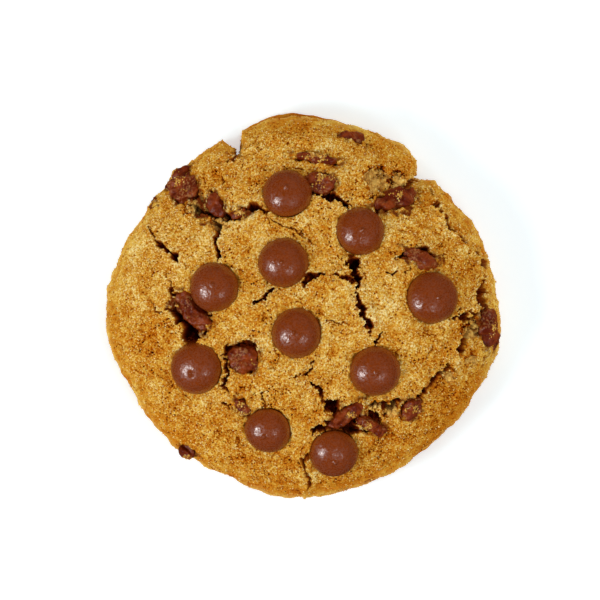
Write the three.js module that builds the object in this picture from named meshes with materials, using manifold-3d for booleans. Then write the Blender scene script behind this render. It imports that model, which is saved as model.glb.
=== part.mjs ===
// A thick chocolate chip cookie: a domed, cracked dough body with whole chocolate chips pressed
// into its top and broken chocolate pieces baked into its cracks.
// Millimetres, +Z up. The origin is the middle of the flat base, +Y is the far side of the cookie.
import * as THREE from "three";
import { mergeVertices } from "three/addons/utils/BufferGeometryUtils.js";
import Module from "manifold-3d";

const wasm = await Module();
wasm.setup();

// Driving dimensions of the dough body
const CROWN_HEIGHT = 21;
const SHOULDER_HEIGHT = 5.5; // level at which the side wall is widest
const MEAN_RADIUS = 39;
const DOME_ROUNDNESS = 2.5; // exponent along the radius: higher is a flatter top
const DOME_FULLNESS = 2; // exponent of the height: 2 meets the wall upright
const BASE_TUCK = 1.1; // how far the wall leans in below its widest level
const FOOT_HEIGHT = 1.1; // thin browned foot that spread on the baking tray
const FOOT_EVEN = 0.4;
const FOOT_BULGE = { at: 92, spread: 15, out: 1.3 };
const FOOT_ROUND = 0.4;
const LUMPS = { up: 0.35, alongX: 4.6, alongY: 5.4 }; // broad unevenness of the top
const LEVEL_RIM = 2; // how quickly the unevenness fades towards the rim

// Bulges and hollows of the outline: where in degrees from +X, how wide in degrees, how far out
const OUTLINE_WAVES = [
  { at: 352, spread: 14, out: 2.3 },
  { at: 18, spread: 12, out: 0.9 },
  { at: 42, spread: 12, out: -1.0 },
  { at: 62, spread: 7, out: 0.5 },
  { at: 96, spread: 12, out: 0.6 },
  { at: 135, spread: 18, out: -1.0 },
  { at: 184, spread: 18, out: 2.15 },
  { at: 222, spread: 10, out: 0.4 },
  { at: 246, spread: 10, out: -0.4 },
  { at: 265, spread: 10, out: 0.5 },
  { at: 328, spread: 16, out: 1.0 },
];

// Hollows and swellings of the top: place, spread and height
const TOP_SWELLS = [
  { x: 16, y: 26.5, spread: 3.4, up: -1.7 },
  { x: 22.8, y: 24.2, spread: 1.9, up: -2.2 },
  { x: -20, y: 20, spread: 3.4, up: -1.2 },
  { x: 12, y: -22.5, spread: 4.5, up: -0.8 },
  { x: 35.5, y: -5.5, spread: 3.2, up: -1.6 },
  { x: 6, y: 33, spread: 8, up: 0.8 },
  { x: -28, y: 12, spread: 6, up: 0.6 },
  { x: 2, y: -1, spread: 8, up: 0.5 },
  { x: 25, y: -11, spread: 7, up: 0.5 },
];

// Whole chips: the middle of each one's base and its radius
const CHIP_HEIGHT = 4.2;
const CHIP_TIP = { height: 0.5, spread: 0.55 };
const CHIP_ROUNDNESS = 2.3;
const CHIP_FULLNESS = 1.65;
const CHIP_FOOT = 0.45; // height of the rounded lower edge
const CHIP_FOOT_INSET = 0.35;
const CHIP_SINK = 0.9; // how deep a chip's base lies in the dough
const CHIP_BEARING = 0.8; // share of a chip's radius that takes up the slope of the top
const CHIPS = [
  { x: -3.3, y: 23.5, r: 5.1 },
  { x: -4.0, y: 9.2, r: 5.25 },
  { x: 11.9, y: 15.7, r: 5.1 },
  { x: -18.4, y: 4.1, r: 5.15 },
  { x: -1.3, y: -5.4, r: 5.25 },
  { x: -22.1, y: -12.7, r: 5.45 },
  { x: 26.8, y: 1.9, r: 5.45 },
  { x: 15.0, y: -13.3, r: 5.3 },
  { x: -7.3, y: -25.5, r: 4.85 },
  { x: 6.4, y: -30.3, r: 5.15 },
];

// Broken pieces in the cracks: size along, across and deep, turn about +Z in degrees, and how far
// the top stands above the dough
const CHUNKS = {
  chunk_upper_left: { x: -24.6, y: 24.3, size: [6.4, 6.2, 4.6], turn: 20, rise: 0.5 },
  chunk_upper_left_rim: { x: -26.0, y: 26.8, size: [6.4, 2.3, 2.6], turn: 40, rise: 0.4 },
  chunk_upper_left_inner: { x: -18.2, y: 21.6, size: [5.4, 3.4, 3.0], turn: -50, rise: 0.4 },
  chunk_upper_crack: { x: -13.2, y: 19.5, size: [3.8, 2.0, 2.4], turn: 5, rise: -0.3 },
  chunk_upper_middle: { x: 4.2, y: 26.4, size: [5.8, 3.2, 3.2], turn: -4, rise: 0.4 },
  chunk_upper_sliver: { x: 2.8, y: 30.9, size: [7.8, 1.7, 2.0], turn: -9, rise: 0.4 },
  chunk_far_edge: { x: 8.9, y: 35.3, size: [3.6, 2.4, 2.0], turn: -15, rise: 0.4 },
  chunk_upper_right: { x: 19.2, y: 22.2, size: [9.8, 3.8, 3.4], turn: 20, rise: 0.6 },
  chunk_right_middle: { x: 24.2, y: 10.4, size: [6.8, 3.0, 2.8], turn: -20, rise: 0.5 },
  chunk_right_rim: { x: 38.5, y: -4.4, size: [9.0, 3.8, 4.4], turn: -76, rise: 0.4 },
  chunk_left: { x: -22.4, y: -0.9, size: [8.8, 3.6, 3.6], turn: -52, rise: 0.2 },
  chunk_lower_left: { x: -12.3, y: -10.6, size: [6.4, 6.2, 4.4], turn: 0, rise: 0.4 },
  chunk_lower_crack: { x: -12.5, y: -20.9, size: [4.2, 2.2, 2.2], turn: -40, rise: 0.3 },
  chunk_lower_middle: { x: 9.0, y: -22.4, size: [8.2, 2.9, 3.0], turn: 38, rise: 0.5 },
  chunk_lower_inner: { x: 14.6, y: -24.9, size: [6.2, 2.9, 2.8], turn: -8, rise: 0.4 },
  chunk_lower_right: { x: 22.6, y: -21.2, size: [4.4, 3.8, 3.0], turn: 25, rise: 0.3 },
  chunk_near_rim: { x: -24.0, y: -30.0, size: [3.2, 2.4, 2.4], turn: -38, rise: 0.4 },
};

// Cracks: half the width at the surface, depth, and the path on the top
const CRACKS = [
  { half: 1.1, deep: 3.0, path: [[-24.2, 21.5], [-18.6, 19.2], [-13.0, 19.4], [-10.9, 21.1], [-7.1, 19.9]] },
  { half: 0.6, deep: 2.0, path: [[-18.6, 18.8], [-17.8, 13.8], [-17.6, 9.2]] },
  { half: 0.5, deep: 1.7, path: [[-31.6, 18.0], [-31.0, 14.6], [-28.0, 11.7], [-25.7, 8.8]] },
  { half: 0.6, deep: 1.8, path: [[-28.2, 6.1], [-27.2, 2.9], [-25.3, 2.1]] },
  { half: 1.3, deep: 4.2, path: [[-28.4, 0.0], [-25.4, -1.4], [-23.6, -4.0], [-23.4, -7.7]] },
  { half: 0.5, deep: 2.0, path: [[-19.0, -1.0], [-20.7, -3.4], [-20.7, -6.1]] },
  { half: 0.5, deep: 1.8, path: [[-16.7, -9.2], [-16.0, -13.0], [-15.5, -18.2]] },
  { half: 0.5, deep: 1.8, path: [[-5.4, 4.2], [-8.8, 1.5], [-11.1, 0.4]] },
  { half: 0.6, deep: 2.0, path: [[0.0, 4.4], [1.8, 6.2], [5.0, 7.7]] },
  { half: 0.5, deep: 1.6, path: [[6.1, 7.3], [7.8, 6.2], [10.4, 6.2]] },
  { half: 0.8, deep: 3.0, path: [[10.4, 10.4], [11.1, 5.9], [11.2, 1.3], [13.4, -1.6], [13.8, -5.9]] },
  { half: 0.9, deep: 3.0, path: [[1.5, 24.7], [5.8, 23.0], [8.4, 21.9], [9.8, 20.3]] },
  {
    half: 0.7,
    deep: 2.2,
    path: [[26.8, 24.2], [29.1, 19.4], [32.0, 15.3], [36.2, 11.4], [37.4, 5.2], [37.2, 0.4]],
  },
  { half: 0.6, deep: 2.0, path: [[30.3, -2.7], [33.0, -1.8], [36.8, -0.8]] },
  { half: 0.9, deep: 2.4, path: [[35.1, -2.5], [34.7, -5.6], [32.8, -8.4], [32.4, -10.7]] },
  {
    half: 0.8,
    deep: 2.8,
    path: [[32.2, -13.2], [29.6, -12.8], [26.4, -17.0], [21.3, -20.4], [17.2, -20.8], [12.5, -20.1]],
  },
  { half: 0.5, deep: 1.6, path: [[2.7, -11.1], [0.6, -13.4], [-2.1, -14.4]] },
  { half: 0.8, deep: 2.6, path: [[1.3, -14.8], [3.9, -18.2], [6.9, -22.8]] },
  { half: 1.0, deep: 3.2, path: [[1.9, -27.2], [4.4, -24.9], [8.6, -25.2], [12.1, -26.1]] },
  { half: 0.9, deep: 1.8, path: [[1.5, -29.3], [0.3, -32.4], [1.5, -35.3], [1.0, -38.2]] },
];

// Splits of the rim down to the base, from outside the outline inwards
const RIM_NOTCHES = [
  { half: 3.3, path: [[-16.4, 39.0], [-13.5, 31.8]] },
  { half: 3.6, path: [[28.6, 30.0], [22.8, 27.0]] },
];

// Mesh steps and the gap that touching pieces keep
const AROUND = 60;
const DOME_RINGS = 10;
const WALL_LEVELS = [3.4, 1.9];
const CHIP_AROUND = 14;
const CHIP_RINGS = 4;
const CHUNK_DETAIL = 1;
const CHUNK_LUMPS = { size: 0.12, alongX: 4.1, alongY: 3.7 };
const CHUNK_SQUARENESS = 2.8; // 2 is an ellipsoid, higher is blockier
const GAP = 0.3;
const SAME_POINT = 1e-4; // points closer than this are one
const ABOVE = 3; // how far a cutting solid reaches over the top
const CRACK_FLOOR = 0.35; // width of a crack's floor as a share of its mouth
const CRACK_END = 0.3; // width and depth left at a crack's two ends
const NOTCH_FLOOR = 0.8;
const NOTCH_END = 0.06;
const UNDER = -1; // a level below the base

const bell = (distance, spread) => Math.exp(-((distance / spread) ** 2));
const turnBetween = (a, b) => ((((a - b) % 360) + 540) % 360) - 180;

// The outline's radius at an angle in degrees
function outlineRadius(angle) {
  return OUTLINE_WAVES.reduce(
    (radius, w) => radius + w.out * bell(turnBetween(angle, w.at), w.spread),
    MEAN_RADIUS,
  );
}

// The height of the top over a point, without cracks
function topHeight(x, y) {
  const angle = THREE.MathUtils.radToDeg(Math.atan2(y, x));
  const share = Math.min(Math.hypot(x, y) / outlineRadius(angle), 1);
  const dome = (1 - share ** DOME_ROUNDNESS) ** (1 / DOME_FULLNESS);
  const lumps = LUMPS.up * Math.sin(x / LUMPS.alongX) * Math.cos(y / LUMPS.alongY);
  const swells = TOP_SWELLS.reduce(
    (sum, swell) => sum + swell.up * bell(Math.hypot(x - swell.x, y - swell.y), swell.spread),
    0,
  );
  const uneven = (lumps + swells) * Math.min(1, LEVEL_RIM * dome);
  return SHOULDER_HEIGHT + (CROWN_HEIGHT - SHOULDER_HEIGHT) * dome + uneven;
}

// The slope of the top under something as wide as reach, as a rotation of +Z
function lieOfTop(x, y, reach) {
  const normal = new THREE.Vector3(
    topHeight(x - reach, y) - topHeight(x + reach, y),
    topHeight(x, y - reach) - topHeight(x, y + reach),
    2 * reach,
  ).normalize();
  return new THREE.Quaternion().setFromUnitVectors(new THREE.Vector3(0, 0, 1), normal);
}

// A closed surface from rings of equal length, with a pole point at each end
function closedRings(rings, firstPole, lastPole) {
  const around = rings[0].length;
  const points = [firstPole, ...rings.flat(), lastPole];
  const last = points.length - 1;
  const at = (ring, step) => 1 + ring * around + (step % around);
  const faces = [];
  for (let k = 0; k < around; k++) {
    faces.push(0, at(0, k), at(0, k + 1));
    for (let ring = 0; ring < rings.length - 1; ring++) {
      faces.push(at(ring, k), at(ring + 1, k), at(ring + 1, k + 1));
      faces.push(at(ring, k), at(ring + 1, k + 1), at(ring, k + 1));
    }
    faces.push(last, at(rings.length - 1, k + 1), at(rings.length - 1, k));
  }
  const geometry = new THREE.BufferGeometry().setFromPoints(points);
  geometry.setIndex(faces);
  return geometry;
}

function solidOf(geometry) {
  const bare = geometry.clone();
  bare.deleteAttribute("normal");
  bare.deleteAttribute("uv");
  const merged = mergeVertices(bare, SAME_POINT);
  return new wasm.Manifold(
    new wasm.Mesh({
      numProp: 3,
      vertProperties: merged.attributes.position.array,
      triVerts: new Uint32Array(merged.index.array),
    }),
  );
}

function geometryOf(solid) {
  const { numProp, numVert, vertProperties, triVerts } = solid.getMesh();
  const positions = new Float32Array(numVert * 3);
  for (let i = 0; i < numVert; i++) {
    positions.set(vertProperties.subarray(i * numProp, i * numProp + 3), i * 3);
  }
  const geometry = new THREE.BufferGeometry();
  geometry.setAttribute("position", new THREE.BufferAttribute(positions, 3));
  geometry.setIndex(new THREE.BufferAttribute(new Uint32Array(triVerts), 1));
  geometry.computeVertexNormals();
  return geometry;
}

// The largest of the bodies that a cut leaves
function largestBody(solid) {
  return solid.decompose().reduce((a, b) => (b.volume() > a.volume() ? b : a));
}

// The uncracked dough: dome rings from the crown to the widest level, then the wall and the foot
function doughBlank() {
  const angles = Array.from({ length: AROUND }, (_, k) => (360 * k) / AROUND);
  const ring = (radiusAt, heightAt) =>
    angles.map((angle) => {
      const r = radiusAt(angle);
      const turn = THREE.MathUtils.degToRad(angle);
      const x = r * Math.cos(turn);
      const y = r * Math.sin(turn);
      return new THREE.Vector3(x, y, heightAt(x, y));
    });
  const rings = [];
  for (let k = 1; k <= DOME_RINGS; k++) {
    const share = Math.sin((k / DOME_RINGS) * (Math.PI / 2));
    rings.push(ring((angle) => share * outlineRadius(angle), topHeight));
  }
  const tucked = (angle, level) =>
    outlineRadius(angle) - BASE_TUCK * ((SHOULDER_HEIGHT - level) / SHOULDER_HEIGHT) ** 2;
  for (const level of WALL_LEVELS) rings.push(ring((angle) => tucked(angle, level), () => level));
  const foot = (angle) => {
    const bulge = FOOT_BULGE.out * bell(turnBetween(angle, FOOT_BULGE.at), FOOT_BULGE.spread);
    return tucked(angle, 0) + FOOT_EVEN + bulge;
  };
  rings.push(ring(foot, () => FOOT_HEIGHT));
  rings.push(ring(foot, () => FOOT_ROUND));
  rings.push(ring((angle) => foot(angle) - FOOT_ROUND, () => 0));
  const crown = new THREE.Vector3(0, 0, topHeight(0, 0));
  return solidOf(closedRings(rings, crown, new THREE.Vector3()));
}

// A wedge-shaped trench along a path: its floor is a share of its width at the top of the dough
function trench(path, floorShare, sectionAt) {
  const points = path.map(([x, y]) => new THREE.Vector2(x, y));
  const sections = points.map((p, i) => {
    const before = points[Math.max(i - 1, 0)];
    const after = points[Math.min(i + 1, points.length - 1)];
    const along = after.clone().sub(before).normalize();
    const top = topHeight(p.x, p.y);
    const { half, low } = sectionAt(i, top);
    const mouth = half * (floorShare + ((1 - floorShare) * (top + ABOVE - low)) / (top - low));
    const corner = (side, z) => new THREE.Vector3(p.x - side * along.y, p.y + side * along.x, z);
    return [
      corner(mouth, top + ABOVE),
      corner(half * floorShare, low),
      corner(-half * floorShare, low),
      corner(-mouth, top + ABOVE),
    ];
  });
  const middle = (section) => section.reduce((sum, c) => sum.add(c), new THREE.Vector3()).divideScalar(4);
  return solidOf(closedRings(sections, middle(sections[0]), middle(sections.at(-1))));
}

function crackCutter({ half, deep, path }) {
  return trench(path, CRACK_FLOOR, (i, top) => {
    const share = i === 0 || i === path.length - 1 ? CRACK_END : 1;
    return { half: half * share, low: top - deep * share };
  });
}

// A notch is wide outside the rim and closes towards its inner end
function notchCutter({ half, path }) {
  return trench(path, NOTCH_FLOOR, (i) => ({ half: i === 0 ? half : half * NOTCH_END, low: UNDER }));
}

// A chip's section from the middle of its base to its tip: a rounded edge, a dome and a small tip
function chipProfile(radius, grow) {
  const dome = (share) => {
    const body = (CHIP_HEIGHT - CHIP_FOOT) * (1 - share ** CHIP_ROUNDNESS) ** (1 / CHIP_FULLNESS);
    return CHIP_FOOT + body + CHIP_TIP.height * bell(share * radius, CHIP_TIP.spread);
  };
  const points = [new THREE.Vector2(0, -grow), new THREE.Vector2(radius + grow - CHIP_FOOT_INSET, -grow)];
  for (let k = CHIP_RINGS; k >= 0; k--) {
    const share = Math.sin((k / CHIP_RINGS) * (Math.PI / 2));
    points.push(new THREE.Vector2(share * (radius + grow), dome(share) + grow));
  }
  return points;
}

// A chip as a turned solid, standing on the lie of the top. Grown, it is the seat that it needs.
function chipMesh(chip, grow = 0) {
  const geometry = new THREE.LatheGeometry(chipProfile(chip.r, grow), CHIP_AROUND);
  geometry.rotateX(Math.PI / 2);
  geometry.applyQuaternion(lieOfTop(chip.x, chip.y, chip.r * CHIP_BEARING));
  geometry.translate(chip.x, chip.y, topHeight(chip.x, chip.y) - CHIP_SINK);
  return solidOf(geometry);
}

// A broken piece as an uneven faceted lump. Grown, it is the pocket that it needs.
function chunkMesh({ x, y, size, turn, rise }, grow = 0) {
  const geometry = new THREE.IcosahedronGeometry(1, CHUNK_DETAIL);
  const position = geometry.attributes.position;
  const p = new THREE.Vector3();
  for (let i = 0; i < position.count; i++) {
    p.fromBufferAttribute(position, i);
    const wave = Math.sin(CHUNK_LUMPS.alongX * p.x + x) * Math.cos(CHUNK_LUMPS.alongY * p.y + y);
    const lump = 1 + CHUNK_LUMPS.size * wave;
    const blocky = [p.x, p.y, p.z].map((c) => Math.sign(c) * Math.abs(c) ** (2 / CHUNK_SQUARENESS));
    position.setXYZ(i, ...blocky.map((c, axis) => c * (lump * (size[axis] / 2) + grow)));
  }
  geometry.rotateZ(THREE.MathUtils.degToRad(turn));
  geometry.applyQuaternion(lieOfTop(x, y, size[1] / 2));
  geometry.translate(x, y, topHeight(x, y) + rise - size[2] / 2);
  return solidOf(geometry);
}

const chips = CHIPS.map((chip) => chipMesh(chip));
const seats = CHIPS.map((chip) => chipMesh(chip, GAP));

// Each broken piece gives way to the chips and to the pieces before it
const chunks = {};
const pockets = [];
for (const [name, chunk] of Object.entries(CHUNKS)) {
  const free = [...seats, ...pockets].reduce((solid, other) => solid.subtract(other), chunkMesh(chunk));
  chunks[name] = largestBody(free);
  pockets.push(chunkMesh(chunk, GAP));
}

const cutters = [...CRACKS.map(crackCutter), ...RIM_NOTCHES.map(notchCutter), ...seats, ...pockets];
const dough = largestBody(cutters.reduce((solid, cutter) => solid.subtract(cutter), doughBlank()));

const bakedDough = new THREE.MeshStandardMaterial({ color: 0xc99744, roughness: 0.85, metalness: 0 });
const milkChocolate = new THREE.MeshStandardMaterial({ color: 0x7a3f24, roughness: 0.38, metalness: 0 });
const bakedChocolate = new THREE.MeshStandardMaterial({ color: 0x5f2a14, roughness: 0.55, metalness: 0 });

function named(name, solid, material) {
  const mesh = new THREE.Mesh(geometryOf(solid), material);
  mesh.name = name;
  return mesh;
}

const cookie = new THREE.Group();
cookie.add(named("dough", dough, bakedDough));
chips.forEach((chip, i) => {
  const number = String(i + 1).padStart(2, "0");
  cookie.add(named(`chip_${number}`, chip, milkChocolate));
});
for (const [name, chunk] of Object.entries(chunks)) {
  cookie.add(named(name, chunk, bakedChocolate));
}

export default cookie;
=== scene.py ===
import bpy
import numpy as np
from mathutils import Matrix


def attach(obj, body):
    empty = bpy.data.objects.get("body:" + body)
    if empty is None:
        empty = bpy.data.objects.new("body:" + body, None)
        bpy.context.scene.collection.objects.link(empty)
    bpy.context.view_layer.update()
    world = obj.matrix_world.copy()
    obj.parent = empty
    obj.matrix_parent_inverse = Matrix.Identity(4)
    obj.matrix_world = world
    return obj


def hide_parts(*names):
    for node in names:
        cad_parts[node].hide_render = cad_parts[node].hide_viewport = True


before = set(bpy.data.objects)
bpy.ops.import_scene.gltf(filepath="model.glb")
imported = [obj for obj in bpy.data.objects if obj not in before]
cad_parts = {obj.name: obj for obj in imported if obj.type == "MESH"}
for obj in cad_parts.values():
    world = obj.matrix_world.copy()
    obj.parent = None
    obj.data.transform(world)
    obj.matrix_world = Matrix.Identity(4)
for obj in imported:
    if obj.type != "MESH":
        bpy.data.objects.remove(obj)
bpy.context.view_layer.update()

# The dough is one piece: a ball of brown sugar dough that spread and rose in the oven. The crust set
# first and split into plates over the soft crumb, so it is sandy and golden on the plates, toasted
# at the rim and dark where it tore. Its sizes are in millimetres, as the baker would measure them.
MM = 0.001
CROWN_HEIGHT = 21.0
SHOULDER_HEIGHT = 5.5
MEAN_RADIUS = 39.0
DOME_ROUNDNESS = 2.5
DOME_FULLNESS = 2.0
BASE_TUCK = 1.1
FOOT_HEIGHT = 1.1
FOOT_TOP = 1.9
FOOT_EVEN = 0.4
FOOT_BULGE = (92, 15, 1.3)
FOOT_ROUND = 0.4
LUMPS_UP, LUMPS_ALONG_X, LUMPS_ALONG_Y = 0.35, 4.6, 5.4
LEVEL_RIM = 2.0

# Bulges and hollows of the outline: where in degrees, how wide in degrees, how far out
OUTLINE_WAVES = (
    (352, 14, 2.3), (18, 12, 1.15), (42, 12, -1.0), (62, 7, 0.5), (96, 12, 0.6), (135, 18, -1.0),
    (184, 18, 2.15), (222, 10, 0.4), (246, 10, -0.4), (265, 10, 0.5), (328, 16, 1.0),
)
# Hollows and swellings of the top: x, y, spread and height
TOP_SWELLS = (
    (16, 26.5, 3.4, -1.7), (22.8, 24.2, 1.9, -2.2), (-20, 20, 3.4, -1.2), (12, -22.5, 4.5, -0.8),
    (35.5, -5.5, 3.2, -1.6), (6, 33, 8, 0.8), (-28, 12, 6, 0.6), (2, -1, 8, 0.5), (25, -11, 7, 0.5),
)
# Splits of the rim down to the base: where in degrees, half the mouth and how far in
RIM_NOTCHES = ((112.4, 2.3, 5.2), (48.0, 2.9, 3.4))
# They start at this share of the radius
NOTCH_FROM = 0.84

# Cracks of the crust: width at each end, depth, lift of the plate on the left of the path, path
CRACKS = {
    "main_upper": (1.3, 1.5, 3.0, 0.2, ((-24.2, 21.5), (-21.5, 20.5), (-18.6, 19.2), (-15.5, 19.6),
                                        (-13.0, 19.4), (-10.9, 21.1), (-9.2, 20.5), (-7.1, 19.9))),
    "upper_left_down": (1.1, 0.9, 2.4, 0.0, ((-18.6, 18.8), (-18.0, 16.3), (-17.8, 13.8), (-18.0, 11.9),
                                             (-17.6, 9.2))),
    "left_slant": (0.6, 1.1, 2.0, 0.2, ((-31.6, 18.0), (-31.6, 15.7), (-30.3, 13.4), (-28.0, 11.7),
                                        (-26.1, 10.0), (-25.7, 8.8))),
    "left_pair": (0.7, 0.9, 1.8, 0.0, ((-28.2, 6.1), (-27.4, 4.4), (-27.2, 2.9), (-25.3, 2.1))),
    "left_hair": (0.3, 0.5, 1.0, 0.0, ((-33.2, 2.1), (-31.8, 1.0), (-31.1, -0.6), (-29.1, -1.0))),
    "left_hole": (1.8, 3.0, 4.2, 0.2, ((-28.4, 0.0), (-25.9, -1.0), (-24.2, -2.9), (-23.4, -5.0),
                                       (-23.4, -7.7))),
    "chip_4_low": (0.6, 0.7, 2.0, 0.0, ((-19.0, -1.0), (-20.5, -2.3), (-20.9, -4.2), (-20.7, -6.1))),
    "chip_6_right": (0.5, 0.9, 1.8, 0.0, ((-16.7, -9.2), (-15.9, -11.7), (-16.1, -14.2), (-16.7, -16.1),
                                          (-15.5, -18.2))),
    "chip_2_low": (0.8, 0.6, 2.2, 0.0, ((-5.4, 4.2), (-7.1, 2.7), (-8.8, 1.5), (-11.1, 0.4))),
    "chip_2_right": (1.1, 0.5, 2.2, 0.0, ((0.0, 4.4), (1.5, 6.1), (3.3, 6.5), (5.0, 7.7))),
    "mid_branch": (0.5, 0.9, 1.6, 0.0, ((6.1, 7.3), (7.5, 6.3), (9.6, 6.1), (10.6, 5.2))),
    "mid_down_top": (2.6, 0.9, 3.4, 0.1, ((10.2, 11.0), (10.7, 8.4), (11.1, 5.9), (11.5, 3.3))),
    "mid_down_low": (0.6, 1.6, 2.6, 0.1, ((11.5, 3.3), (11.1, 1.3), (13.0, -0.6), (13.6, -3.3),
                                          (13.8, -5.9))),
    "chip_1_right": (1.4, 1.2, 3.0, 0.1, ((1.5, 24.7), (4.2, 24.0), (6.3, 22.6), (8.4, 21.9),
                                          (9.8, 20.3))),
    "chip_3_up": (0.5, 0.6, 1.6, 0.0, ((13.4, 22.6), (15.7, 22.4), (18.0, 23.6))),
    "right_fold": (1.1, 1.3, 2.6, -0.7, ((26.8, 24.2), (27.6, 21.5), (29.1, 19.4), (30.1, 17.3),
                                         (32.0, 15.3), (33.6, 13.4), (36.2, 11.9), (37.6, 8.8),
                                         (37.6, 4.6))),
    "right_hole": (1.4, 1.5, 1.9, 0.0, ((37.6, 5.0), (37.2, 2.9), (37.2, -0.4))),
    "chip_7_low": (0.6, 1.1, 2.0, 0.0, ((30.3, -2.7), (32.6, -1.7), (34.3, -2.3), (36.8, -0.8))),
    "right_low": (1.5, 0.9, 2.4, 0.0, ((35.1, -2.5), (34.9, -5.0), (33.6, -7.1), (32.8, -8.4),
                                       (32.4, -10.7))),
    "low_right": (0.8, 1.3, 2.8, 0.3, ((32.2, -13.2), (30.3, -12.5), (28.4, -14.2), (27.0, -16.5),
                                       (25.1, -18.0), (23.8, -19.4), (21.3, -20.5))),
    "low_mid": (1.2, 0.8, 2.4, 0.2, ((21.3, -20.3), (19.2, -19.9), (17.6, -20.9), (14.6, -20.5),
                                     (12.5, -20.1))),
    "chip_8_up": (0.5, 0.7, 1.6, 0.0, ((16.7, -5.6), (15.7, -6.7), (15.7, -8.4))),
    "low_centre": (0.5, 0.5, 1.4, 0.0, ((2.7, -11.1), (1.0, -13.0), (0.2, -14.0), (-2.1, -14.4))),
    "low_centre_down": (0.4, 0.9, 2.0, 0.0, ((1.3, -14.8), (3.1, -17.3), (4.2, -19.4))),
    "low_centre_hole": (2.4, 1.6, 3.2, 0.0, ((4.4, -19.8), (6.4, -20.8), (6.9, -23.4))),
    "chip_10_up": (1.6, 1.6, 3.4, 0.0, ((1.9, -27.2), (3.8, -24.9), (6.7, -24.3), (9.6, -25.0),
                                        (12.1, -25.8))),
    "chunk_gap_low": (1.8, 1.0, 3.0, 0.0, ((9.5, -24.6), (12.0, -23.4), (15.0, -22.9), (17.2, -24.6))),
    "chunk_slit": (1.2, 0.9, 2.2, 0.0, ((-16.8, -9.5), (-14.6, -8.9), (-13.0, -7.5), (-10.8, -7.3),
                                        (-9.0, -8.4))),
    "chip_9_up": (0.4, 0.5, 1.2, 0.0, ((-7.5, -17.6), (-8.2, -19.0), (-8.8, -21.5))),
    "low_left_dash": (0.4, 0.6, 1.2, 0.0, ((-17.8, -19.9), (-16.5, -20.3), (-15.3, -21.3))),
    "bottom": (1.1, 0.6, 1.0, 0.0, ((1.5, -29.3), (0.2, -31.6), (0.4, -33.4), (1.5, -35.3),
                                    (0.8, -38.9))),
    "notch_left": (1.2, 0.6, 1.8, 0.0, ((-13.6, 33.4), (-13.6, 32.0), (-14.8, 30.5), (-16.3, 29.7))),
    "notch_right": (1.3, 0.7, 1.8, 0.2, ((24.2, 28.0), (22.6, 26.0), (21.3, 24.7), (18.8, 23.4))),
    "chip_1_up": (0.3, 0.5, 1.2, 0.0, ((-3.6, 29.7), (-2.1, 28.6), (0.8, 28.2))),
    "chip_5_hair": (0.4, 0.4, 0.9, 0.0, ((4.0, -4.0), (6.3, -2.7), (7.5, -3.3), (9.4, -3.3))),
    "upper_hair": (0.5, 0.4, 0.9, 0.0, ((-7.1, 19.6), (-5.6, 18.0), (-2.9, 16.1), (0.4, 14.6),
                                        (3.3, 10.7))),
    "arch_above": (1.0, 0.8, 2.4, 0.0, ((19.4, 9.6), (20.9, 11.1), (23.2, 11.9), (25.5, 11.5),
                                        (27.8, 9.8))),
    "arch_slit": (0.5, 0.6, 1.6, 0.0, ((17.8, 6.9), (19.0, 7.3), (20.1, 8.2))),
    "arch_hair": (0.3, 0.5, 1.2, 0.0, ((20.9, 7.1), (22.4, 8.4))),
    "right_rim_low": (0.4, 0.5, 1.0, 0.0, ((38.7, -9.4), (38.0, -11.7), (37.4, -13.6))),
}
# Places where a flake of crust is gone and the pale crumb shows: x, y and radius
TORN_PATCHES = (
    (-21.8, 21.2, 2.5), (-17.5, 17.6, 1.9), (-19.2, 19.8, 1.4), (18.3, -21.8, 1.6), (14.2, -21.2, 1.2),
    (30.4, -14.4, 1.5), (35.3, -4.6, 2.2), (35.4, -11.0, 1.3), (15.4, 26.6, 2.5), (19.8, 26.2, 1.9),
)
# Smears of melted chocolate on the crumb: x, y and radius
SMEARS = (
    (-20.0, 20.0, 3.0), (-31.3, 21.5, 1.2), (-25.4, 0.3, 2.8), (-21.2, -3.6, 1.8), (20.6, 20.4, 2.2),
    (22.0, 10.8, 2.1), (27.4, 9.6, 1.7), (8.6, -25.0, 1.8), (11.4, -22.2, 1.8),
)

# The whole chips that the dough makes room for, as they lie in it: x, y and radius. They are sunk a
# little, and lie as the top does over this share of their radius
CHIP_SINK = 0.9
CHIP_BEARING = 0.8
CHIPS = (
    (-3.3, 23.5, 5.1), (-4.0, 9.2, 5.25), (11.9, 15.7, 5.1), (-18.4, 4.1, 5.15), (-1.3, -5.4, 5.25),
    (-22.1, -12.7, 5.45), (26.8, 1.9, 5.45), (15.0, -13.3, 5.3), (-7.3, -25.5, 4.85), (6.4, -30.3, 5.15),
)
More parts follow.
